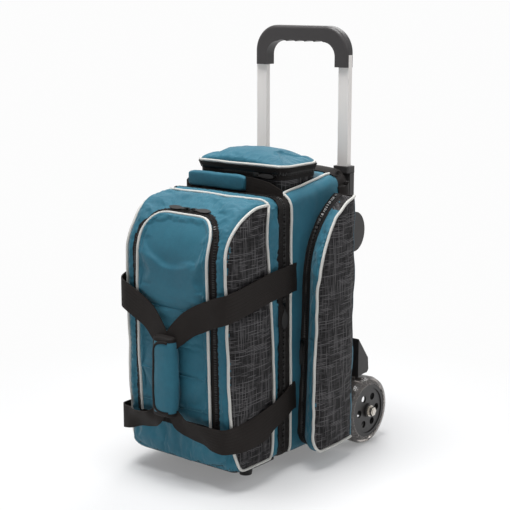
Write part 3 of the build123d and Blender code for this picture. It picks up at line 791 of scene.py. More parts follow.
@dataclass(frozen=True)
class Cloth(Finish):
    """Woven cloth, plain or with the crosshatch pattern."""

    roughness: float = 0.62
    pitch: float = 0.0009
    bump: float = 0.25
    sheen: float = 0.10
    specular: float = 0.22
    hatch: float = 0.0
    line: Colour = (0.42, 0.42, 0.43)
    wrinkle: float = 0.0

    def sockets(self, g: Graph, where: Value, fx: Effects) -> dict:
        """Return the sockets of a weave with optional lines and small wrinkles.

        Args:
            g: graph of the material.
            where: coordinate of its pattern.
            fx: node groups that finishes share.

        Returns:
            Values and sockets by name.
        """
        weave = g.group(fx.weave, Vector=where, Pitch=self.pitch)
        tone = g.ramp(g.group(fx.cloud, Vector=where, Scale=7.0)["Tone"], 0.3, 0.7)
        # random grain and painted sheen: the weave's colour output lightens the raised threads
        thread = g.times(weave["Thread"], 0.5)
        colour = self.tone(g, g.times(g.math("ADD", tone, thread), 0.62))
        if self.hatch:
            hatch = g.group(fx.hatch, Vector=where)
            colour = g.mix(g.times(hatch["Patch"], 0.7), colour, (*self.dark, 1))
            colour = g.mix(g.times(hatch["Lines"], self.hatch), colour, (*self.line, 1))
        normal = g.bump(weave["Height"], self.bump, 0.0002)
        if self.wrinkle:
            folds = g.noise(where, 22.0, Detail=3.0, Distortion=0.6)
            normal = g.bump(folds, self.wrinkle, 0.004, Normal=normal)
        return {"Base Color": colour, "Normal": normal, "Specular IOR Level": self.specular,
                "Roughness": g.math("ADD", g.times(tone, 0.1), self.roughness - 0.05),
                "Sheen Weight": self.sheen, "Sheen Roughness": 0.45}


@dataclass(frozen=True)
class Webbing(Finish):
    """Ribbed webbing whose weave follows the band."""

    roughness: float = 0.6
    pitch: float = 0.0022
    coordinate: ClassVar[str] = "UV"

    def sockets(self, g: Graph, where: Value, fx: Effects) -> dict:
        """Return the sockets of a ribbed band.

        Args:
            g: graph of the material.
            where: coordinate of its pattern.
            fx: node groups that finishes share.

        Returns:
            Values and sockets by name.
        """
        ribs = g.group(fx.ribs, Vector=where, Pitch=self.pitch)["Height"]
        cloud = g.group(fx.cloud, Vector=where, Scale=30.0)
        return {"Base Color": self.tone(g, g.math("ADD", g.times(ribs, 0.25), cloud["Tone"])),
                "Roughness": g.math("ADD", g.times(cloud["Dust"], 0.1), self.roughness),
                "Specular IOR Level": 0.15, "Normal": g.bump(ribs, 0.55, 0.0004)}


@dataclass(frozen=True)
class Moulded(Finish):
    """Moulded plastic with a fine texture, uneven tone and dusty patches in its roughness."""

    grain: float = 700.0
    bump: float = 0.15

    def sockets(self, g: Graph, where: Value, fx: Effects) -> dict:
        """Return the sockets of a grained plastic.

        Args:
            g: graph of the material.
            where: coordinate of its pattern.
            fx: node groups that finishes share.

        Returns:
            Values and sockets by name.
        """
        cloud = g.group(fx.cloud, Vector=where, Scale=14.0)
        grain = g.noise(where, self.grain, Detail=2.0)
        return {"Base Color": self.tone(g, g.times(cloud["Tone"], 0.9)),
                "Roughness": g.math("ADD", g.times(cloud["Dust"], 0.15), self.roughness),
                "Normal": g.bump(grain, self.bump, 0.0003)}


@dataclass(frozen=True)
class Metal(Finish):
    """Drawn or anodised metal with faint lines along one direction."""

    stretch: Point = (900.0, 900.0, 12.0)
    metallic: float = 1.0

    def sockets(self, g: Graph, where: Value, fx: Effects) -> dict:
        """Return the sockets of a metal with drawn lines.

        Args:
            g: graph of the material.
            where: coordinate of its pattern.
            fx: node groups that finishes share.

        Returns:
            Values and sockets by name.
        """
        move = g.add("Mapping", {"Vector": where, "Scale": self.stretch})
        lines = g.noise(move[0], 1.0, Detail=3.0)
        cloud = g.group(fx.cloud, Vector=where, Scale=12.0)
        return {"Base Color": self.tone(g, g.times(g.math("ADD", lines, cloud["Tone"]), 0.5)),
                "Roughness": g.math("ADD", g.times(lines, 0.16), self.roughness - 0.08),
                "Metallic": self.metallic, "Normal": g.bump(lines, 0.05, 0.0002)}


@dataclass(frozen=True)
class SmokedTyre(Finish):
    """Smoky clear urethane."""

    roughness: float = 0.16

    def sockets(self, g: Graph, where: Value, fx: Effects) -> dict:
        """Return the sockets of a clear plastic with uneven smoke.

        Args:
            g: graph of the material.
            where: coordinate of its pattern.
            fx: node groups that finishes share.

        Returns:
            Values and sockets by name.
        """
        cloud = g.group(fx.cloud, Vector=where, Scale=20.0)
        return {"Base Color": self.tone(g, cloud["Tone"]),
                "Roughness": g.math("ADD", g.times(cloud["Dust"], 0.2), self.roughness),
                "Transmission Weight": 0.82, "IOR": 1.35}


class Finishes:
    """All materials of the bag, built once."""

    def __init__(self) -> None:
        """Build the materials from their finishes."""
        fx = Effects()
        self.teal = Cloth("Teal cloth", (0.014, 0.100, 0.153), (0.029, 0.174, 0.242),
                          sheen=0.16, specular=0.32, wrinkle=0.3).build(fx)
        self.hatch = Cloth("Crosshatch cloth", (0.009, 0.0085, 0.009), (0.017, 0.016, 0.0165),
                           hatch=0.56, sheen=0.0, specular=0.12, line=(0.23, 0.22, 0.225),
                           wrinkle=0.2).build(fx)
        self.black = Cloth("Black cloth", (0.009, 0.0075, 0.007), (0.017, 0.014, 0.013),
                           pitch=0.0012, sheen=0.0, specular=0.15).build(fx)
        self.lining = Cloth("Grey lining", (0.035, 0.036, 0.040), (0.075, 0.078, 0.084),
                            pitch=0.0007, sheen=0.3).build(fx)
        self.foam = Cloth("Foam", (0.030, 0.030, 0.032), (0.060, 0.060, 0.064),
                          roughness=0.85, pitch=0.002, bump=0.5).build(fx)
        self.piping = Cloth("Off-white piping", (0.56, 0.55, 0.51), (0.74, 0.73, 0.69),
                            roughness=0.5, pitch=0.0014, bump=0.3, sheen=0.1).build(fx)
        self.thread = Cloth("Teal thread", (0.020, 0.115, 0.170), (0.055, 0.230, 0.300),
                            roughness=0.5, pitch=0.0006).build(fx)
        self.webbing = Webbing("Black webbing", (0.011, 0.0085, 0.0075),
                               (0.023, 0.0185, 0.0165)).build(fx)
        self.tape = Webbing("Zipper tape", (0.008, 0.0065, 0.006), (0.017, 0.014, 0.013),
                            pitch=0.0010).build(fx)
        self.grip = Moulded("Grip plastic", (0.026, 0.023, 0.023), (0.050, 0.046, 0.046),
                            roughness=0.42).build(fx)
        self.plastic = Moulded("Black plastic", (0.018, 0.016, 0.016),
                               (0.040, 0.037, 0.036)).build(fx)
        self.hub = Moulded("Hub nylon", (0.012, 0.011, 0.011), (0.030, 0.028, 0.027),
                           roughness=0.38).build(fx)
        self.coil = Moulded("Zipper coil", (0.006, 0.006, 0.006), (0.02, 0.02, 0.02),
                            roughness=0.3).build(fx)
        self.pull = Moulded("Rubber pull", (0.010, 0.009, 0.009), (0.022, 0.020, 0.019),
                            roughness=0.58).build(fx)
        self.tube = Metal("Anodised tube", (0.90, 0.86, 0.82), (0.96, 0.92, 0.88),
                          roughness=0.45, metallic=0.18).build(fx)
        self.steel = Metal("Plated steel", (0.52, 0.49, 0.44), (0.70, 0.66, 0.60),
                           roughness=0.28, stretch=(60.0, 300.0, 300.0)).build(fx)
        self.slider = Metal("Black slider", (0.020, 0.020, 0.020), (0.05, 0.05, 0.05),
                            roughness=0.3, stretch=(200.0, 200.0, 200.0)).build(fx)
        self.tyre = SmokedTyre("Smoked urethane", (0.52, 0.48, 0.45),
                               (0.702, 0.648, 0.6075)).build(fx)


# ---------------------------------------------------------------- cloth tools
PIPING = 0.0026
LINE_STEP = 0.004
EVEN_EASE = 2.2
TOOTH_HALF = 0.0022
TOOTH_HEIGHT = 0.0009
MAIN_TEETH = {"step": 0.0028, "pitch": 0.003}
CREASE = 50
CLEAR = 0.0002
CLOTH_STEPS = 16
SEWN_REACH = 0.0045


def sample(points: Sequence[Point], step: float = 0.005, closed: bool = False) -> list[Vector]:
    """Return smooth points through places measured from the front panel."""
    return catmull([place(*p) for p in points], step, closed)


def paint(obj: bpy.types.Object, rule: Rule) -> None:
    """Give each face the material number that a rule finds from its centre and normal.

    Args:
        obj: object that is changed.
        rule: chooses the number.
    """
    for face in obj.data.polygons:
        if face.material_index == 0:
            face.material_index = rule(face.center, face.normal)


def hollow(obj: bpy.types.Object, thickness: float, lining: int) -> None:
    """Give an open skin a wall that goes inwards and has its own lining material.

    Args:
        obj: skin that is changed.
        thickness: thickness of the wall.
        lining: material number of the inside.
    """
    while len(obj.data.materials) <= lining:
        obj.data.materials.append(None)
    apply_modifier(obj, "SOLIDIFY", thickness=thickness, offset=-1.0, use_even_offset=False,
                   material_offset=lining, material_offset_rim=lining, use_quality_normals=True)


def ripple(obj: bpy.types.Object, height: float, scale: float, seed: float,
           rule: Callable[[Vector], float] | None = None) -> None:
    """Move a skin in and out with soft folds.

    Args:
        obj: skin that is changed.
        height: height of the folds.
        scale: folds per metre.
        seed: place in the noise field.
        rule: share of the height at a point.
    """
    points, normals = coordinates(obj), normals_of(obj)
    for i, point in enumerate(points):
        share = rule(Vector(point)) if rule else 1.0
        if share:
            value = noise.fractal(Vector(point) * scale + Vector((seed, seed, 0)), 1.0, 2.0, 3)
            points[i] = point + normals[i] * value * height * share
    set_coordinates(obj, points)


def tree_of(points: Sequence[Vector]) -> KDTree:
    """Return a search tree of points.

    Args:
        points: points to search.

    Returns:
        The tree.
    """
    tree = KDTree(len(points))
    for i, point in enumerate(points):
        tree.insert(point, i)
    tree.balance()
    return tree


def swell(obj: bpy.types.Object, seams: Sequence[Vector], height: float, reach: float) -> None:
    """Pad a skin: it stays down along its seams and stands up between them.

    Args:
        obj: skin that is changed.
        seams: points on the seams.
        height: how far the middle stands up.
        reach: distance from a seam at which the full height is met.
    """
    tree = tree_of(seams)
    points, normals = coordinates(obj), normals_of(obj)
    for i, point in enumerate(points):
        share = min(tree.find(point)[2] / reach, 1.0)
        points[i] = point + normals[i] * height * (1 - (1 - share) ** EVEN_EASE)
    set_coordinates(obj, points)


def puff(obj: bpy.types.Object, pressure: float, travel: float,
         pinned: Callable[[Vector], bool] | None = None) -> None:
    """Blow a closed cloth shape up a little with a cloth simulation, and crease it.

    Args:
        obj: closed shape with even faces.
        pressure: pressure inside.
        travel: furthest that a point may move.
        pinned: points that stay in place.
    """
    before = coordinates(obj)
    alone(obj)
    if pinned:
        group = obj.vertex_groups.new(name="held")
        group.add([i for i, p in enumerate(before) if pinned(Vector(p))], 1.0, "REPLACE")
    cloth = obj.modifiers.new("cloth", "CLOTH")
    for key, value in {"quality": 3, "mass": 0.3, "tension_stiffness": 18,
                       "compression_stiffness": 18, "shear_stiffness": 8,
                       "bending_stiffness": 1.2, "use_pressure": True,
                       "uniform_pressure_force": pressure, "shrink_min": -0.035}.items():
        setattr(cloth.settings, key, value)
    cloth.settings.effector_weights.gravity = 0
    if pinned:
        cloth.settings.vertex_group_mass = "held"
    for number in range(1, CLOTH_STEPS + 1):
        bpy.context.scene.frame_set(number)
    bpy.ops.object.modifier_apply(modifier="cloth")
    bpy.context.scene.frame_set(1)
    moved = coordinates(obj) - before
    length = np.linalg.norm(moved, axis=1, keepdims=True)
    set_coordinates(obj, before + moved * np.minimum(1, travel / np.maximum(length, 1e-9)))
    obj.vertex_groups.clear()
    LOG.info("%s: puffed by up to %.1f mm", obj.name, 1000 * min(float(length.max()), travel))


def pad(obj: bpy.types.Object, seams: Sequence[Vector], height: float, reach: float,
        pressure: float = 4.0, travel: float = 0.0035) -> None:
    """Pad a skin between its seams, then let a cloth simulation crease it.

    Args:
        obj: skin that is changed.
        seams: points where it is sewn down.
        height: how far the middle stands up.
        reach: distance from a seam at which the full height is met.
        pressure: pressure of the simulation.
        travel: furthest that the simulation may move a point.
    """
    swell(obj, seams, height, reach)
    tree = tree_of(seams)
    puff(obj, pressure, travel, lambda p: tree.find(p)[2] < SEWN_REACH)


def near_sliders(*names: str) -> list[Vector]:
    """Return points on sliders and pulls, where the cloth below stays flat.

    Args:
        names: sliders, without the ends of their names.

    Returns:
        The points.
    """
    points = []
    for name in names:
        for node in (f"{name}_slider", f"{name}_pull"):
            low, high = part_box(node)
            size = high - low
            points += [low + Vector((size.x * a, size.y * b, size.z * c))
                       for a in (0, 0.5, 1) for b in (0, 0.5, 1)
                       for c in (0, 0.25, 0.5, 0.75, 1)]
    return points


def eased(points: Sequence[Vector], closed: bool = False, rounds: int = 4) -> list[Vector]:
    """Return points with small kinks smoothed out.

    Args:
        points: points on the line.
        closed: whether it closes on itself.
        rounds: how often each point moves towards its neighbours.

    Returns:
        The smoothed points.
    """
    line = [p.copy() for p in points]
    count = len(line)
    for _ in range(rounds):
        line = [p if not closed and i in (0, count - 1)
                else (line[i - 1] + p * 2 + line[(i + 1) % count]) / 4
                for i, p in enumerate(line)]
    return line


def cord_along(name: str, body: "Body | str | None", points: Sequence[Vector],
               finish: bpy.types.Material, closed: bool = False) -> bpy.types.Object:
    """Lay a piping cord along points and give it its finish."""
    return dress(tube(name, eased(points, closed), PIPING, closed), body, "webbing", finish)


def resample(points: Sequence[Vector], normals: Sequence[Vector], step: float) -> tuple:
    """Return points and normals along the same line at a finer step.

    Args:
        points: points on the line.
        normals: surface normals there.
        step: distance between new points.

    Returns:
        The new points and their normals.
    """
    fine, matching = [points[0]], [normals[0]]
    for a, b, m, n in zip(points, points[1:], normals, normals[1:]):
        parts = max(1, round((b - a).length / step))
        for k in range(1, parts + 1):
            fine.append(a.lerp(b, k / parts))
            matching.append(m.lerp(n, k / parts).normalized())
    return fine, matching


def zip_tape(name: str, body: "Body | str", line: tuple, width: float, thick: float,
             finish: Finishes, closed: bool = False) -> None:
    """Lay a zipper tape along points with their normals."""
    tape = ribbon(name, *line, width, thick, closed=closed)
    dress(tape, body, "black_fabric", finish.tape)


def teeth(name: str, body: "Body | str", line: tuple, finish: Finishes, lift: float = 0.0,
          step: float = 0.0026, pitch: float = 0.0028,
          kept: Callable[[Vector], bool] | None = None) -> None:
    """Lay zipper teeth along a line as small blocks that cross it.

    Args:
        name: name of the piece.
        body: body that it rides on.
        line: points on the line and the surface normals there.
        finish: finishes of the bag.
        lift: height above the line.
        step: distance between the places where a tooth may stand.
        pitch: least distance between two teeth.
        kept: places that get teeth, where some are left out.
    """
    run = [(p + n * lift, n) for p, n in zip(*resample(*line, step)) if not kept or kept(p)]
    verts, faces = [], []
    gone = 0.0
    for (a, normal), (b, _) in zip(run, run[1:]):
        gone += (b - a).length
        if gone < pitch:
            continue
        gone = 0.0
        along = (b - a).normalized()
        side = along.cross(normal).normalized() * TOOTH_HALF
        base = len(verts)
        for rise in (0.0, TOOTH_HEIGHT):
            for u, v in ((-1, -1), (1, -1), (1, 1), (-1, 1)):
                verts.append(a + side * u + along * v * pitch * 0.3 + normal * rise)
        faces += [(base, base + 3, base + 2, base + 1), (base + 4, base + 5, base + 6, base + 7)]
        for k in range(4):
            m = (k + 1) % 4
            faces.append((base + k, base + m, base + 4 + m, base + 4 + k))
    dress(new_mesh(name, verts, faces), body, "zip_metal", finish.coil)


# ---------------------------------------------------------------- stage
@dataclass
class Studio:
    """Camera, floor, background and lights."""

    azimuth: float = 38.82
    elevation: float = 11.71
    distance: float = 2.27184
    lens: float = 89.98
    target: Point = (0.02358, -0.00682, 0.37179)
    floor_colour: tuple = (0.94, 0.94, 0.94, 1.0)
    floor_shade: tuple = (0.84, 0.84, 0.84, 1.0)
    white: float = 1.04
    glossy: float = 0.6
    fade_start: float = 0.25
    fade_end: float = 0.85
    under_object: float = 0.22
    sky_colour: tuple = (0.85, 0.90, 1.0, 1.0)
    sky: float = 0.17
    backdrop: float = 0.94
    light_distance: float = 2.6
    lights: tuple = (("key", -20, 80, 1.5, 86), ("fill", 100, 35, 1.8, 11),
                     ("front", 10, 14, 1.6, 1), ("rim", 200, 45, 1.4, 24))

    def aim(self, name: str, data: bpy.types.ID, azimuth: float, elevation: float,
            distance: float) -> bpy.types.Object:
        """Add a camera or light that faces the target.

        Args:
            name: name of the object.
            data: its camera or light data.
            azimuth: degrees round the part from the front towards the right.
            elevation: degrees above the floor.
            distance: distance from the target.

        Returns:
            The new object.
        """
        a, e = math.radians(azimuth), math.radians(elevation)
        back = Vector((math.sin(a) * math.cos(e), -math.cos(a) * math.cos(e), math.sin(e)))
        obj = bpy.data.objects.new(name, data)
        obj.location = Vector(self.target) + back * distance
        obj.rotation_euler = back.to_track_quat("Z", "Y").to_euler()
        bpy.context.collection.objects.link(obj)
        return obj

    def camera(self) -> None:
        """Add the camera."""
        data = bpy.data.cameras.new("camera")
        data.lens = self.lens
        data.sensor_width = 36.0
        bpy.context.scene.camera = self.aim("camera", data, self.azimuth, self.elevation,
                                            self.distance)

    def floor(self) -> None:
        """Add a plain pale floor, which shows white away from the object."""
        obj = new_mesh("floor", [(-6, -6, 0), (6, -6, 0), (6, 6, 0), (-6, 6, 0)], [(0, 1, 2, 3)])
        material, g, shader, where = start_material("Floor")
        g.put(shader, {"Base Color": self.floor_shade, "Roughness": 0.6,
                       "Specular IOR Level": 0.2})
        away = g.add("VectorMath", {0: where}, operation="LENGTH")["Value"]
        fade = g.ramp(away, self.fade_start, self.fade_end, self.under_object,
                      interpolation_type="SMOOTHSTEP")
        path = g.add("LightPath")
        mirror = g.math("MAXIMUM", path["Is Glossy Ray"], path["Is Transmission Ray"])
        share = g.times(fade, g.math("MAXIMUM", mirror, path["Is Camera Ray"]))
        white = g.add("Emission", {"Color": self.floor_colour, "Strength": self.white})
        mix = g.add("MixShader", {0: share, 1: shader.outputs[0], 2: white[0]})
        g.put(g.tree.nodes["Material Output"], {"Surface": mix[0]})
        obj.data.materials.append(material)

    def background(self) -> None:
        """Show white to the camera and light the object with a soft grey sky."""
        world = bpy.data.worlds.new("studio")
        bpy.context.scene.world = world
        world.use_nodes = True
        world.node_tree.nodes.clear()
        g = Graph(world.node_tree)
        path = g.add("LightPath")
        shown = g.math("MAXIMUM", path["Is Camera Ray"], path["Is Transmission Ray"])
        share = g.math("MULTIPLY_ADD", path["Is Glossy Ray"], self.glossy, shown)
        sky = g.add("Background", {"Color": self.sky_colour, "Strength": self.sky})
        white = g.add("Background", {"Color": (1.0, 1.0, 1.0, 1.0),
                                     "Strength": self.backdrop * self.white})
        mix = g.add("MixShader", {0: share, 1: sky[0], 2: white[0]})
        g.add("OutputWorld", {0: mix[0]})

    def build(self) -> None:
        """Set up the whole stage."""
        bpy.context.scene.view_settings.view_transform = "Standard"
        self.camera()
        self.floor()
        self.background()
        for name, azimuth, elevation, size, power in self.lights:
            data = bpy.data.lights.new(name, "AREA")
            data.size, data.energy = size, power
            self.aim(name, data, azimuth, elevation, self.light_distance)


# ---------------------------------------------------------------- body of the bag
class Panel(IntEnum):
    """Order of the materials on a body skin."""

    TEAL = 0
    HATCH = 1
    BLACK = 2
    LINING = 3


def inside(polygon: Sequence[tuple[float, float]], y: float, z: float) -> bool:
    """Tell whether a point lies inside a polygon.

    Args:
        polygon: corners of the polygon.
        y: first place of the point.
        z: second place of the point.

    Returns:
        Whether it lies inside.
    """
    result = False
    for (y0, z0), (y1, z1) in zip(polygon, [*polygon[1:], polygon[0]]):
        if (z0 > z) != (z1 > z) and y < (y1 - y0) * (z - z0) / (z1 - z0) + y0:
            result = not result
    return result


def line_skin(skin: bpy.types.Object, body: "Body | str", slot: str, wall: float,
              finish: Finishes) -> None:
    """Give an open skin its wall and lining, and its materials in the order of Panel.

    Args:
        skin: skin that is changed.
        body: body that it rides on.
        slot: material slot of the record.
        wall: thickness of the wall.
        finish: finishes of the bag.
    """
    hollow(skin, wall, Panel.LINING)
    smooth(skin, CREASE)
    dress(skin, body, slot, finish.teal, finish.hatch, finish.black, finish.lining)


def arch(up: Sequence[Point], top: Sequence[Point], step: float) -> list[Vector]:
    """Return smooth points up the left side, over the top and down the right side."""
    return sample([*up, *top, *((-x, y, z) for x, y, z in up[::-1])], step)


def zipper_line(y: float) -> list[Vector]:
    """Return points of the main zipper at one Y, up one side, over the top and down again.

    Args:
        y: Y of the line.

    Returns:
        The points.
    """
    up = [(-0.120, y, z / 1000) for z in range(40, 470, 10)]
    up += [(-0.118, y, 0.478), (-0.108, y, 0.488)]
    return arch(up, [(x / 1000, y, 0.492) for x in range(-98, 99, 10)], LINE_STEP)


@dataclass
class Half:
    """What the two halves of the bag share."""

    finish: Finishes
    voxel: float = 0.003
    wall: float = 0.0036
    half: float = 0.118
    split: float = 0.148

    def split_rim(self) -> list[Vector]:
        """Return points round the rim where the two halves meet.

        Returns:
            The points.
        """
        rim = [place(side * self.half, self.split, z / 1000)
               for side in SIDES.values() for z in range(26, 486, 6)]
        return rim + [place(x / 1000, self.split, 0.486) for x in range(-116, 117, 6)]


@dataclass
class FrontSection(Half):
    """Padded front half of the bag with its door, piping and half of the main zipper."""

    band: float = 0.130
    crest_y: float = 0.110
    seam: tuple = ((0.110, 0.482), (0.091, 0.484), (0.069, 0.481), (0.039, 0.468),
                   (0.013, 0.451), (-0.003, 0.433), (-0.008, 0.411), (-0.008, 0.379),
                   (-0.004, 0.304), (0.002, 0.189), (0.008, 0.114), (0.014, 0.074),
                   (0.024, 0.048), (0.034, 0.035), (0.048, 0.030), (0.066, 0.030),
                   (0.114, 0.031))
    side_seam: tuple = ((0.110, 0.482), (0.103, 0.470), (0.100, 0.440), (0.104, 0.380),
                        (0.112, 0.300), (0.119, 0.200), (0.120, 0.120), (0.117, 0.060),
                        (0.114, 0.031))
    door_half: float = 0.080
    door_low: float = 0.112
    door_top: float = 0.462
    door_corner: float = 0.038
    door_band: float = 0.0132
    door_top_band: float = 0.0070
    door_proud: float = 0.0085
    padding: Pair = (0.0038, 0.032)
    folds: Point = (0.0028, 14.0, 3.1)
    door_padding: Pair = (0.0026, 0.026)
    door_folds: Point = (0.0022, 12.0, 9.7)
    tape: Pair = (0.0184, 0.0009)
    door_tape: Pair = (0.0152, 0.0008)
    strapped: tuple = ((0.140, 0.345), (0.122, 0.344), (0.104, 0.343), (0.086, 0.339),
                       (0.068, 0.336), (0.050, 0.333), (0.032, 0.330), (0.016, 0.327),
                       (0.140, 0.122), (0.122, 0.116), (0.104, 0.110), (0.086, 0.104),
                       (0.068, 0.100), (0.050, 0.098), (0.032, 0.096), (0.016, 0.096))
    foot_z: float = 0.034
    mouth_low: float = 0.357
    mouth_inset: float = 0.012
    fold_z: float = 0.345
    panels: dict = field(default_factory=dict)

    def door_gap(self, x: float, z: float) -> float:
        """Return the distance outside the door's outline, negative inside it.

        Args:
            x: X of a place.
            z: Z of a place.

        Returns:
            The distance.
        """
        mid = (self.door_low + self.door_top) / 2
        tall = (self.door_top - self.door_low) / 2
        corner = self.door_corner if z > mid else 0.0
        dx = abs(x) - (self.door_half - corner)
        dz = abs(z - mid) - (tall - corner)
        out = math.hypot(max(dx, 0), max(dz, 0))
        return out + min(max(dx, dz), 0) - corner

    def door_outline(self, grow: float = 0.0, rise: float | None = None) -> list[Vector]:
        """Return points round the door from its left foot over the top to its right foot.

        Args:
            grow: distance outside the door.
            rise: distance above the door's top, where it differs.

        Returns:
            Points in front of the bag.
        """
        half, top = self.door_half + grow, self.door_top + (grow if rise is None else rise)
        radius = self.door_corner + grow
        points = []
        z = self.door_low
        while z < top - radius:
            points.append((-half, z))
            z += 0.006
        for k in range(9):
            turn = math.pi / 2 * k / 8
            points.append((-half + radius - radius * math.cos(turn),
                           top - radius + radius * math.sin(turn)))
        x = radius - half + 0.006
        while x < 0.003:
            points.append((x, top))
            x += 0.006
        mirror = [(-a, b) for a, b in points[::-1] if a < -0.0005]
        return [place(a, -0.1, b) for a, b in points + mirror]

    def rule(self, centre: Vector, normal: Vector) -> int:
        """Choose the panel of a face.

        Args:
            centre: centre of the face.
            normal: its normal.

        Returns:
            The panel.
        """
        y, z = centre.y - FRONT_Y, centre.z
        if y > self.band or normal.z < -0.75:
            return Panel.BLACK
        side = 1 if centre.x > 0 else -1
        if abs(normal.x) > 0.3 and inside(self.panels[side], y, z):
            return Panel.HATCH
        if normal.y < -0.2 and abs(centre.x) < 0.104:
            share = clamped((z - self.door_top + self.door_corner) / self.door_corner)
            band = self.door_band * (1 - share) + self.door_top_band * share
            if -0.02 < self.door_gap(centre.x, z) < band:
                return Panel.BLACK
        return Panel.TEAL

    def build(self) -> None:
        """Make the skin, its piping and its share of the zipper."""
        f = self.finish
        skin = hull_of("front_cloth", "front_shell")
        remesh(skin, self.voxel)
        back = place(0, self.split - 0.002, 0).y
        delete_faces(skin, lambda c, n: c.y > back and n.y > 0.6)
        curves = {}
        for name, side in SIDES.items():
            for edge, seam in (("front", self.seam), ("side", self.side_seam)):
                curves[f"{name}_{edge}_piping"] = sample(
                    [(side * self.half, y, z) for y, z in seam], LINE_STEP)
        crest = [(x / 1000, self.crest_y, 0.488) for x in range(-96, 97, 8)]
        ends = [(0.1125, self.crest_y, 0.481), (0.105, self.crest_y, 0.486)]
        crest = [(-x, y, z) for x, y, z in ends] + crest + ends[::-1]
        curves["crest_piping"] = sample(crest, LINE_STEP)
        seams = []
        for name, points in curves.items():
            curves[name] = laid_on(points, skin)[0]
            seams += curves[name]
        proud = [p + n * self.door_proud
                 for p, n in zip(*struck(self.door_outline(-0.0005), skin))]
        flat = near_sliders("left_door", "right_door") + self.held(skin)
        pad(skin, seams + self.split_rim() + flat, *self.padding)
        tree = tree_of(flat)
        ripple(skin, *self.folds, lambda p: self.softness(p, tree))
        laid = {name: laid_on(points, skin, PIPING * 0.7)[0]
                for name, points in curves.items()}
        for name, side in SIDES.items():
            edge = [*laid[f"{name}_front_piping"], *laid[f"{name}_side_piping"][::-1]]
            self.panels[side] = [(p.y - FRONT_Y, p.z) for p in edge]
        paint(skin, self.rule)
        line, normals = struck(self.door_outline(0.0080, 0.0020), skin)
        line = eased([p + n * 0.0004 for p, n in zip(line, normals)])
        delete_faces(skin, lambda c, n: n.y < -0.15 and c.z > self.mouth_low
                     and self.door_gap(c.x, c.z) < -self.mouth_inset
                     and c.y < place(0, 0.08, 0).y)
        line_skin(skin, Body.FRONT, "teal_fabric", self.wall, f)
        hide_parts("front_shell")
        for name, points in laid.items():
            cord_along(name, Body.FRONT, points, f.piping)
        self.door(proud)
        zip_tape("door_zipper_tape", Body.FRONT, (line, normals), *self.door_tape, f)
        teeth("door_zipper_teeth", Body.FRONT, (line, normals), f, 0.0008, 0.0024, 0.0026)
        self.zipper(skin)
        self.eyelets(skin)

    def held(self, skin: bpy.types.Object) -> list[Vector]:
        """Return points where straps and the door hold the cloth down.

        Args:
            skin: skin of the section.

        Returns:
            The points.
        """
        points = [place(side * self.half, y, z + step / 1000)
                  for side in SIDES.values() for y, z in self.strapped
                  for step in range(-20, 21, 10)]
        behind = [place(x / 1000, -0.1, z / 1000)
                  for x in range(-90, 91, 10) for z in range(104, 480, 10)
                  if self.door_gap(x / 1000, z / 1000) < self.door_band]
        foot = vertices_where(skin, lambda p, n: p.z < self.foot_z)
        return points + foot + struck(behind, skin)[0]

    def softness(self, point: Vector, flat: KDTree) -> float:
        """Return how much a point may fold: little where it is sewn or held down.

        Args:
            point: point on the skin.
            flat: places that stay flat.

        Returns:
            A share from 0 to 1.
        """
        y = point.y - FRONT_Y
        if flat.find(point)[2] < 0.012:
            return 0.0
        return clamped((self.split - y) / 0.05) * max(0.15, clamped((point.z - 0.03) / 0.06))

    def zipper(self, skin: bpy.types.Object) -> None:
        """Add the front half of the main zipper.

        Args:
            skin: skin that it lies on.
        """
        tape = laid_on(zipper_line(self.split - 0.0102), skin, 0.0003)
        zip_tape("front_zipper_tape", Body.FRONT, tape, *self.tape, self.finish)
        line = laid_on(zipper_line(self.split - 0.0012), skin)
        teeth("front_zipper_teeth", Body.FRONT, line, self.finish, 0.0008, **MAIN_TEETH)

    def door(self, edge: Sequence[Vector]) -> None:
        """Pad the door, which folds down above the strap, and give it piping.

        Args:
            edge: line of its piping, in front of the cloth.
        """
        f = self.finish
        obj = copy_of("door_cloth", "front_door_panel", "front_door_flap")
        remesh(obj, 0.0027)
        soften(obj, 3)
        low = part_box("front_door_panel")[0].z
        foot = [place(x / 1000, -self.door_proud, low) for x in range(-78, 79, 6)]
        seam = [place(x / 1000, -self.door_proud, low + 0.022) for x in range(-78, 79, 4)]
        behind = vertices_where(obj, lambda p, n: n.y > 0.5)
        pad(obj, laid_on([*edge, *foot, *seam], obj)[0] + behind, *self.door_padding)
        ripple(obj, *self.door_folds)
        smooth(obj, CREASE)
        dress(obj, None, "teal_fabric", f.teal)
        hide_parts("front_door_panel", "front_door_flap")
        cord, _ = laid_on(edge, obj, PIPING * 0.5)
        cord = cord_along("door_piping", None, cord, f.piping)
        thread, _ = laid_on(seam, obj, CLEAR)
        dress(tube("door_seam", thread, 0.0007, sides=6), Body.FRONT, "teal_fabric", f.thread)
        for piece in (obj, cord):
            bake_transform(piece)

    def eyelets(self, skin: bpy.types.Object) -> None:
        """Add two small stitched eyelets to each side panel.

        Args:
            skin: skin that it lies on.
        """
        for name, side in SIDES.items():
            for number, (y, z) in enumerate(((0.078, 0.416), (0.090, 0.352))):
                around = [place(side * self.half, y + 0.0055 * math.cos(t),
                                z + 0.0085 * math.sin(t)) for t in turns(24)]
                laid, _ = laid_on(around, skin, CLEAR)
                ring = tube(f"{name}_eyelet_{number + 1}", laid, 0.0011, closed=True, sides=6)
                dress(ring, Body.FRONT, "black_fabric", self.finish.black)


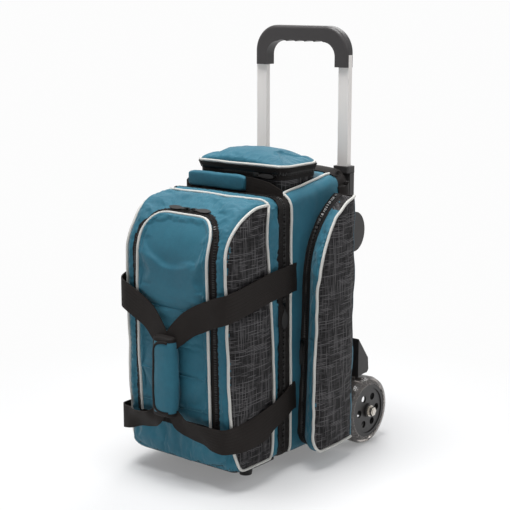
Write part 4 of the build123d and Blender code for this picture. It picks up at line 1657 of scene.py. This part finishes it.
@dataclass
class RearSection(Half):
    """Rear half of the bag with its piping, black rim and half of the main zipper."""

    band: float = 0.168
    rim_start: float = 0.304
    rim_width: float = 0.034
    padding: Pair = (0.0030, 0.030)
    folds: Point = (0.0022, 15.0, 6.4)
    tape: Pair = (0.014, 0.0009)
    side_seam: tuple = ((0.168, 0.031), (0.168, 0.100), (0.167, 0.250), (0.167, 0.400),
                        (0.168, 0.450))

    def rule(self, centre: Vector, normal: Vector) -> int:
        """Choose the panel of a face.

        Args:
            centre: centre of the face.
            normal: its normal.

        Returns:
            The panel.
        """
        y = centre.y - FRONT_Y
        if y < self.band or y > self.rim_start or normal.z < -0.75:
            return Panel.BLACK
        return Panel.TEAL

    def build(self) -> None:
        """Make the skin, its piping, rim and share of the zipper."""
        f = self.finish
        skin = hull_of("rear_cloth", "rear_shell")
        remesh(skin, self.voxel)
        front = place(0, self.split + 0.002, 0).y
        delete_faces(skin, lambda c, n: c.y < front and n.y < -0.6)
        curves = {}
        for name, side in SIDES.items():
            points = [(side * self.half, y, z) for y, z in self.side_seam]
            points += [(side * 0.1165, 0.168, 0.468), (side * 0.110, 0.168, 0.480),
                       (side * 0.100, 0.169, 0.487)]
            curves[f"{name}_rear_piping"] = laid_on(sample(points, LINE_STEP), skin)[0]
            top = [(side * (0.100 + 0.004 * k / 9), 0.169 + 0.0148 * k, 0.487 + 0.0033 * k)
                   for k in range(10)]
            curves[f"{name}_top_piping"] = laid_on(sample(top, LINE_STEP), skin)[0]
        seams = [p for points in curves.values() for p in points]
        taut = laid_on(zipper_line(self.split + 0.0085), skin)[0]
        swell(skin, seams + self.split_rim() + taut, *self.padding)
        ripple(skin, *self.folds, self.softness)
        paint(skin, self.rule)
        for name, points in curves.items():
            cord_along(name, Body.REAR, laid_on(points, skin, PIPING * 0.7)[0], f.piping)
        line_skin(skin, Body.REAR, "teal_fabric", self.wall, f)
        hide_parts("rear_shell")
        self.rim(skin)
        self.zipper(skin)

    def softness(self, point: Vector) -> float:
        """Return how much a point may fold: not where hard parts are fixed."""
        y = point.y - FRONT_Y
        return 0.0 if y > 0.33 or point.z < 0.035 else clamped((y - self.split) / 0.04)

    def rim(self, skin: bpy.types.Object) -> None:
        """Add the padded black rim round the top of the back.

        Args:
            skin: skin that it lies on.
        """
        y = self.rim_start + self.rim_width / 2
        up = [(-0.122, y, z / 1000) for z in range(212, 480, 12)]
        up += [(-0.120, y - 0.002, 0.492), (-0.110, y - 0.005, 0.508)]
        top = [(x / 1000, y - 0.006, 0.518) for x in range(-98, 99, 12)]
        points, normals = laid_on(arch(up, top, 0.006), skin, CLEAR)
        obj = ribbon("back_rim", points, normals, self.rim_width, 0.0022, across=8,
                     crown=0.0055)
        dress(obj, Body.REAR, "black_fabric", self.finish.black)

    def zipper(self, skin: bpy.types.Object) -> None:
        """Add the rear half of the main zipper.

        Args:
            skin: skin that it lies on.
        """
        tape = laid_on(zipper_line(self.split + 0.0085), skin, CLEAR)
        zip_tape("rear_zipper_tape", Body.REAR, tape, *self.tape, self.finish)
        line = laid_on(zipper_line(self.split + 0.0012), skin)
        low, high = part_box("carry_sleeve")
        for name, kept in (("left", lambda p: p.x < low.x - 0.005),
                           ("right", lambda p: p.x > high.x + 0.005)):
            teeth(f"{name}_rear_zipper_teeth", Body.REAR, line, self.finish, 0.0005,
                  kept=kept, **MAIN_TEETH)


# ---------------------------------------------------------------- pockets
@dataclass
class SidePocket:
    """Zipped pocket on one side of the bag."""

    finish: Finishes
    name: str
    side: int
    voxel: float = 0.0033
    wall: float = 0.0028
    outer: float = 0.166
    ring_x: float = 0.1303
    patch_z: float = 0.462
    padding: Pair = (0.0040, 0.030)
    folds: Point = (0.0034, 13.0, 2.0)
    tape: Pair = (0.0100, 0.0008)
    panel: list = field(default_factory=list)
    seam: tuple = ((0.292, 0.479), (0.265, 0.470), (0.241, 0.455), (0.218, 0.430),
                   (0.198, 0.394), (0.189, 0.365), (0.185, 0.340), (0.180, 0.281),
                   (0.176, 0.207), (0.173, 0.150), (0.172, 0.090), (0.173, 0.062),
                   (0.181, 0.044), (0.196, 0.035), (0.230, 0.034), (0.290, 0.034))
    zip_line: tuple = ((0.278, 0.481), (0.250, 0.470), (0.226, 0.447), (0.207, 0.410),
                       (0.195, 0.370), (0.191, 0.345), (0.187, 0.281), (0.184, 0.207),
                       (0.181, 0.130), (0.180, 0.075), (0.184, 0.052), (0.196, 0.039),
                       (0.216, 0.034), (0.276, 0.034))

    def rule(self, centre: Vector, normal: Vector) -> int:
        """Choose the panel of a face.

        Args:
            centre: centre of the face.
            normal: its normal.

        Returns:
            The panel.
        """
        outer = abs(normal.x) > 0.6 and abs(centre.x) > self.outer - 0.006
        if outer and inside(self.panel, centre.y - FRONT_Y, centre.z):
            return Panel.HATCH
        if centre.z > self.patch_z - 0.002 and normal.z > 0.5:
            return Panel.HATCH
        return Panel.TEAL

    def build(self) -> None:
        """Make the pocket's door, fixed ring, piping and zipper."""
        f = self.finish
        gusset, panel = f"{self.name}_pocket_gusset", f"{self.name}_pocket_panel"
        body = f"{self.name}_pocket_door"
        skin = hull_of(f"{self.name}_pocket_cloth", gusset, panel)
        remesh(skin, self.voxel)
        soften(skin, 2)
        inner = self.ring_x + 0.0022
        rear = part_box(gusset)[1].y - 0.002
        delete_faces(skin, lambda c, n: abs(c.x) < inner and n.x * self.side < -0.5)
        delete_faces(skin, lambda c, n: c.y > rear and n.y > 0.6)
        seam = sample([(self.side * self.outer, y, z) for y, z in self.seam], LINE_STEP)
        edge, _ = laid_on(seam, skin)
        border = vertices_where(skin, lambda p, n: abs(p.x) < self.ring_x + 0.013
                                or p.y > rear - 0.002)
        pad(skin, edge + border, *self.padding)
        height, scale, seed = self.folds
        ripple(skin, height, scale, seed + self.side,
               lambda p: clamped((abs(p.x) - self.ring_x - 0.010) / 0.012))
        cord, _ = laid_on(edge, skin, PIPING * 0.7)
        self.panel = [(p.y - FRONT_Y, p.z) for p in cord]
        paint(skin, self.rule)
        cord_along(f"{self.name}_pocket_piping", body, cord, f.piping)
        self.ring(skin, body)
        line_skin(skin, body, "hatch_fabric", self.wall, f)
        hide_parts(gusset, panel)

    def ring(self, skin: bpy.types.Object, body: str) -> None:
        """Dress the fixed ring and lay the zipper where the door meets it.

        Args:
            skin: skin of the pocket's door.
            body: body of that door.
        """
        f = self.finish
        ring = copy_of(f"{self.name}_pocket_ring", f"{self.name}_pocket_frame")
        remesh(ring, 0.0024)
        soften(ring, 2)
        smooth(ring, CREASE)
        dress(ring, Body.REAR, "black_fabric", f.black)
        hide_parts(f"{self.name}_pocket_frame")
        line = [(self.side * self.ring_x, y + 0.010, z) for y, z in self.zip_line]
        line = sample(line, LINE_STEP)
        for part, shift, target, owner in (("ring", -0.0062, ring, Body.REAR),
                                           ("door", 0.0062, skin, body)):
            across = Vector((self.side * shift, 0, 0))
            tape = laid_on([p + across for p in line], target, CLEAR)
            zip_tape(f"{self.name}_pocket_tape_{part}", owner, tape, *self.tape, f)
            row = laid_on([p + across * 0.16 for p in line], target, 0.0006)
            teeth(f"{self.name}_pocket_teeth_{part}", owner, row, f)


@dataclass
class TopPocket:
    """Flat pocket on top with a domed zipped lid."""

    finish: Finishes
    voxel: float = 0.0026
    wall: float = 0.0026
    seam_z: float = 0.5240
    edge_z: float = 0.5350
    corner: float = 0.024
    padding: Pair = (0.0120, 0.056)
    folds: Point = (0.0030, 14.0, 5.5)
    wall_folds: Point = (0.0012, 22.0, 8.1)
    tape: Pair = (0.0098, 0.0008)

    def outline(self, node: str, z: float, grow: float = 0.0) -> list[Vector]:
        """Return points round a node's rounded plan at one height.

        Args:
            node: node whose plan is followed.
            z: height of the points.
            grow: distance outside the plan.

        Returns:
            The points.
        """
        low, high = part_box(node)
        cx, cy = (low.x + high.x) / 2, (low.y + high.y) / 2
        reach_x, reach_y = ((b - a) / 2 + grow - self.corner
                            for a, b in ((low.x, high.x), (low.y, high.y)))
        points = []
        for sx, sy, start in ((1, -1, -90), (1, 1, 0), (-1, 1, 90), (-1, -1, 180)):
            for turn in (math.radians(start + 15 * k) for k in range(7)):
                points.append(Vector((cx + sx * reach_x + self.corner * math.cos(turn),
                                      cy + sy * reach_y + self.corner * math.sin(turn), z)))
        return catmull(points, 0.005, closed=True)

    def build(self) -> None:
        """Make the lid, the wall under it, the piping and the zipper."""
        f = self.finish
        lid = hull_of("lid_cloth", "top_pocket_lid")
        remesh(lid, self.voxel)
        low = self.seam_z + 0.0022
        delete_faces(lid, lambda c, n: c.z < low and n.z < -0.5)
        soften(lid, 3)
        edge, _ = laid_on(self.outline("top_pocket_lid", self.edge_z + 0.002, 0.002), lid)
        rim = vertices_where(lid, lambda p, n: p.z < low + 0.002)
        pad(lid, edge + rim, *self.padding)
        ripple(lid, *self.folds, lambda p: 1.0 if p.z > self.edge_z else 0.0)
        cord, _ = laid_on(edge, lid, PIPING * 0.5)
        plan = [(p.x, p.y) for p in cord]
        line = max(p.z for p in cord) + 0.001

        def rule(centre: Vector, normal: Vector) -> int:
            """Choose the panel of a face: teal within the piping."""
            on_top = centre.z > line or normal.z > 0.2 and inside(plan, centre.x, centre.y)
            return Panel.TEAL if on_top else Panel.BLACK

        paint(lid, rule)
        cord_along("lid_piping", Body.LID, cord, f.piping, closed=True)
        line_skin(lid, Body.LID, "teal_fabric", self.wall, f)
        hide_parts("top_pocket_lid")
        wall = copy_of("top_pocket_cloth", "top_pocket_wall")
        remesh(wall, 0.0022)
        ripple(wall, *self.wall_folds)
        smooth(wall, CREASE)
        dress(wall, Body.REAR, "hatch_fabric", f.hatch)
        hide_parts("top_pocket_wall")
        self.zipper(lid, wall)

    def zipper(self, lid: bpy.types.Object, wall: bpy.types.Object) -> None:
        """Lay tape and teeth on the lid's rim and on the wall below it.

        Args:
            lid: cloth of the lid.
            wall: cloth of the wall.
        """
        f = self.finish
        for part, body, target, tape_rise, teeth_rise, node in (
                ("lid", Body.LID, lid, 0.0062, 0.0014, "top_pocket_lid"),
                ("wall", Body.REAR, wall, -0.0056, -0.0012, "top_pocket_wall")):
            line = laid_on(self.outline(node, self.seam_z + tape_rise, 0.001), target, CLEAR)
            zip_tape(f"lid_zipper_tape_{part}", body, line, *self.tape, f, closed=True)
            line = laid_on(self.outline(node, self.seam_z + teeth_rise, 0.001), target, 0.0004)
            teeth(f"lid_zipper_teeth_{part}", body, line, f)


# ---------------------------------------------------------------- straps and handles
@dataclass(frozen=True)
class Knot:
    """Place on the middle line of a strap, given for the right side.

    Attributes:
        at: the place.
        out: direction away from the bag.
        width: width of the strap there.
        across: direction across the strap.
        lean: share of the side's own lean that is added to both directions.
    """

    at: Point
    out: Point
    width: float = 0.050
    across: Point = (0, 0, 1)
    lean: Sequence[float] = (0, 0)

    def for_side(self, side: int, lean: float) -> tuple:
        """Return place, outward direction, across direction and width on one side.

        Args:
            side: -1 for the left side, 1 for the right side.
            lean: lean of that side.

        Returns:
            The four values of the knot.
        """
        x, y, z = self.out
        wide, over, up = self.across
        return (place(side * self.at[0], *self.at[1:]),
                Vector((side * x, y, z + lean * self.lean[0])),
                Vector((side * wide, over + lean * self.lean[1], up)), self.width)


UPPER_RUN = (
    Knot((0.1185, 0.184, 0.347), (1, 0, 0)),
    Knot((0.1200, 0.172, 0.347), (1, 0, 0)),
    Knot((0.1245, 0.150, 0.346), (1, 0, 0)),
    Knot((0.1255, 0.106, 0.343), (1, 0, 0.05)),
    Knot((0.1245, 0.060, 0.335), (1, 0, 0.05)),
    Knot((0.1235, 0.015, 0.327), (1, -0.3, 0)),
    Knot((0.1165, -0.006, 0.322), (0.8, -0.8, 0)),
    Knot((0.1020, -0.013, 0.317), (0.2, -1, 0)),
    Knot((0.0730, -0.013, 0.304), (0, -1, 0), 0.048, (-0.25, 0, 1)),
    Knot((0.0450, -0.014, 0.289), (0, -1, 0.1), 0.044, (-0.5, 0, 1)),
    Knot((0.0260, -0.017, 0.272), (0, -1, 0.2), 0.040, (-0.8, 0, 1)),
    Knot((0.0100, -0.020, 0.255), (0, -1, 0.1), 0.034, (-1.2, 0, 1)),
)
LOWER_RUN = (
    Knot((0.1185, 0.184, 0.134), (1, 0, 0)),
    Knot((0.1200, 0.172, 0.133), (1, 0, 0)),
    Knot((0.1245, 0.150, 0.126), (1, 0, 0), 0.049),
    Knot((0.1265, 0.115, 0.114), (1, 0, 0.25), 0.048),
    Knot((0.1265, 0.078, 0.102), (1, 0, 0.35), 0.047, (-0.3, 0, 1)),
    Knot((0.1245, 0.030, 0.096), (1, -0.2, 0.35), 0.046, (-0.3, 0, 1)),
    Knot((0.1170, -0.006, 0.096), (0.8, -0.8, 0.2), 0.044),
    Knot((0.1000, -0.014, 0.098), (0.2, -1, 0), 0.040, lean=(0.6, 0)),
    Knot((0.0700, -0.016, 0.103), (0, -1, 0), 0.038, lean=(1, 1)),
    Knot((0.0450, -0.018, 0.107), (0, -1, 0), 0.036, lean=(1, 1)),
    Knot((0.0240, -0.020, 0.117), (0, -1, 0), 0.030, (0.4, 0, 1), lean=(0.4, 0)),
    Knot((0.0100, -0.021, 0.132), (0, -1, 0), 0.022, (0.7, 0, 1)),
)


@dataclass
class Straps:
    """Webbing straps round the bag, the wrap that joins them and the carry handle."""

    finish: Finishes
    width: float = 0.050
    thick: float = 0.0020
    joint: str = "front_section_hinge"
    anchor: tuple[float, float] = (0.121, 0.175)
    keep: float = 0.25
    wrap_edge: float = 0.0065
    wrap_corner: float = 0.016
    wrap_padding: Pair = (0.0018, 0.014)
    wrap_folds: Point = (0.0016, 26.0, 4.2)
    sleeve_padding: Pair = (0.0030, 0.016)
    sleeve_folds: Point = (0.0014, 30.0, 1.7)
    lean: dict = field(default_factory=lambda: {"left": -0.6, "right": -0.35})

    def flatten(self, obj: bpy.types.Object, side: int, z: float) -> None:
        """Give a piece its own copy of its mesh; the anchor place is worked out but not used."""
        place(side * self.anchor[0], self.anchor[1], z)
        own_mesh(obj)

    def band(self, name: str, side: int, knots: Sequence[tuple]) -> None:
        """Make one strap.

        Args:
            name: frame node that it replaces.
            side: -1 for the left side, 1 for the right side.
            knots: place, outward direction, across direction and width, from the seam on.
        """
        places = [knot[0] for knot in knots]
        points = catmull(places, 0.006)
        lengths, gone = run_lengths(places), run_lengths(points)
        outs, sides = [], []
        for run in gone:
            goal = run / gone[-1] * lengths[-1]
            k = max(j for j, value in enumerate(lengths[:-1]) if value <= goal + 1e-9)
            share = min(1.0, (goal - lengths[k]) / (lengths[k + 1] - lengths[k]))
            share = share * share * (3 - 2 * share)
            (_, out, across, wide), (_, next_out, next_across, next_wide) = knots[k:k + 2]
            outs.append(out.lerp(next_out, share).normalized())
            sides.append(across.lerp(next_across, share).normalized()
                         * (wide * (1 - share) + next_wide * share) / self.width)
        obj = ribbon(name, points, outs, self.width, self.thick, across=6, sideways=sides)
        obj.name = f"{name}_webbing"
        dress(obj, Body.REAR, "webbing", self.finish.webbing)
        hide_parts(name)
        self.flatten(obj, side, 0.3)

    def build(self) -> None:
        """Make the four straps, the wrap and the carry handle."""
        for name in ("right", "left"):
            side = SIDES[name]
            for run, knots in (("upper", UPPER_RUN), ("lower", LOWER_RUN)):
                self.band(f"{name}_{run}_strap", side,
                          [knot.for_side(side, self.lean[name]) for knot in knots])
        self.wrap()
        self.carry()

    def wrap(self) -> None:
        """Pad the wrap that is closed round the straps, with a black edge."""
        f = self.finish
        obj = copy_of("wrap_cloth", "wrap_handle")
        remesh(obj, 0.004)
        soften(obj, 4)
        puff(obj, 4.0, 0.0045)
        apply_modifier(obj, "SUBSURF", levels=1)
        low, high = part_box("wrap_handle")
        ends = vertices_where(obj, lambda p, n: p.z > high.z - 0.008 or p.z < low.z + 0.008)
        swell(obj, ends, *self.wrap_padding)
        ripple(obj, *self.wrap_folds)
        edge, corner = self.wrap_edge, self.wrap_corner
        foot, top = low.z + edge, high.z - edge
        left, right = low.x + edge * 1.2, high.x - edge

        def rule(centre: Vector, normal: Vector) -> int:
            """Show the black lining beyond the flap's edge."""
            beyond = centre.z > top or centre.z < foot or normal.y < 0.3 and centre.x < left
            return 1 if beyond else 0

        paint(obj, rule)
        path = [(right, top), (left + corner, top), (left, top - corner),
                (left, foot + corner), (left + corner, foot), (right, foot)]
        path = catmull([Vector((x, low.y - 0.05, z)) for x, z in path], 0.003)
        binding = cord_along("wrap_binding", Body.REAR, struck(path, obj)[0], f.black)
        self.flatten(binding, -1, 0.2)
        smooth(obj, 60)
        dress(obj, Body.REAR, "teal_fabric", f.teal, f.black)
        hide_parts("wrap_handle")
        self.flatten(obj, -1, 0.2)

    def carry(self) -> None:
        """Make the top carry handle: its webbing and its padded sleeve."""
        f = self.finish
        low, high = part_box("carry_webbing")
        y = (low.y + high.y) / 2 - FRONT_Y
        rows = [(-0.109, 0.4915), (-0.103, 0.4960), (-0.094, 0.5010), (-0.080, 0.5035),
                (-0.036, 0.5045), (0.010, 0.5040), (0.040, 0.5030), (0.058, 0.5010),
                (0.078, 0.4980), (0.096, 0.4940), (0.109, 0.4915)]
        points = sample([(x, y, z) for x, z in rows], 0.005)
        sides = [Vector((0, 0, 0.55 + 0.45 * min(1, (0.112 - abs(p.x)) / 0.03)))
                 for p in points]
        web = ribbon("carry_web", [p + Vector((0, 0.001, 0)) for p in points],
                     [Vector((0, -1, 0))] * len(points), 0.026, 0.002, across=4,
                     sideways=sides)
        dress(web, Body.CARRY, "webbing", f.webbing)
        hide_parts("carry_webbing")
        sleeve = copy_of("carry_pad", "carry_sleeve")
        remesh(sleeve, 0.003)
        soften(sleeve, 5)
        ends = vertices_where(sleeve, lambda p, n: abs(n.x) > 0.8)
        swell(sleeve, ends, *self.sleeve_padding)
        puff(sleeve, 4.0, 0.0030)
        apply_modifier(sleeve, "SUBSURF", levels=1)
        ripple(sleeve, *self.sleeve_folds)
        points, (low, high) = coordinates(sleeve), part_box("carry_sleeve")
        kept = np.clip(points, (-1, low.y, low.z), (1, high.y, 1))
        set_coordinates(sleeve, kept + 0.3 * (points - kept))
        smooth(sleeve, 60)
        dress(sleeve, Body.CARRY, "teal_fabric", f.teal)
        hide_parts("carry_sleeve")


# ---------------------------------------------------------------- wheels and hard parts
@dataclass
class Wheel:
    """Smoky clear wheel with the dark teeth of its core inside the tyre."""

    finish: Finishes
    name: str
    teeth: int = 18
    tooth: Point = (0.026, 0.0075, 0.0062)
    core: float = 0.0500

    def build(self) -> None:
        """Dress tyre and hub and add the ring of core teeth."""
        f = self.finish
        centre = sum(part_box(f"{self.name}_tyre"), Vector()) / 2
        paint_node(f"{self.name}_tyre", "clear_tyre", f.tyre)
        paint_node(f"{self.name}_wheel_hub", "hub_plastic", f.hub)
        out = self.core + self.tooth[2] / 2 - 0.0010
        parts = []
        for turn in turns(self.teeth):
            spot = centre + Vector((0, math.sin(turn), math.cos(turn))) * out
            bpy.ops.object.select_all(action="DESELECT")
            bpy.ops.mesh.primitive_cube_add(size=1.0, location=spot, rotation=(-turn, 0, 0))
            bpy.context.object.scale = self.tooth
            bpy.ops.object.transform_apply(location=True, rotation=True, scale=True)
            parts.append(bpy.context.object)
        ring = joined(parts)
        ring.name = f"{self.name}_core_teeth"
        apply_modifier(ring, "BEVEL", width=0.0009, segments=2)
        smooth(ring, 40)
        dress(ring, f"{self.name}_wheel", "hub_plastic", f.hub)


def paint_node(node: str, slot: str, material: bpy.types.Material) -> None:
    """Give a frame node its material.

    Args:
        node: name of the node.
        slot: not used.
        material: its material.
    """
    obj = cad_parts[node]
    obj.data.materials.clear()
    obj.data.materials.append(material)


@dataclass
class HardParts:
    """Frame nodes that keep their own shape and only need a finish."""

    finish: Finishes

    def build(self) -> None:
        """Give each hard node its finish."""
        f = self.finish
        table = {
            "tube_metal": (f.tube, ["left_handle_tube", "right_handle_tube"]),
            "grip_plastic": (f.grip, ["handle_grip"]),
            "steel": (f.steel, ["axle", "axle_nuts", "axle_washers"]),
            "black_plastic": (f.plastic, [
                "back_board", "back_cover", "rear_chassis", "skid_plate", "front_feet",
                "sleeve_collars", "left_handle_sleeve", "right_handle_sleeve",
                "left_upper_guard", "right_upper_guard", "left_wheel_fender",
                "right_wheel_fender"]),
            "foam": (f.foam, ["lower_ball_cup", "ball_shelf"]),
            "black_fabric": (f.lining, ["front_partition"]),
            "webbing": (f.black, ["carry_patches"]),
            "zip_metal": (f.slider, [f"{n}_slider" for n in SLIDERS]),
            "zip_pull": (f.pull, [f"{n}_pull" for n in SLIDERS]),
        }
        for slot, (material, nodes) in table.items():
            for node in nodes:
                paint_node(node, slot, material)
                LOG.info("%s: %s", node, material.name)


SLIDERS = ("left_main", "right_main", "left_pocket", "right_pocket", "left_door", "right_door",
           "lid")


def main() -> None:
    """Dress the frame and set up the stage."""
    logging.basicConfig(level=logging.INFO)
    finish = Finishes()
    FrontSection(finish).build()
    RearSection(finish).build()
    for name, side in SIDES.items():
        SidePocket(finish, name, side).build()
        Wheel(finish, name).build()
    TopPocket(finish).build()
    Straps(finish).build()
    HardParts(finish).build()
    Studio().build()


if __name__ == "__main__":
    main()
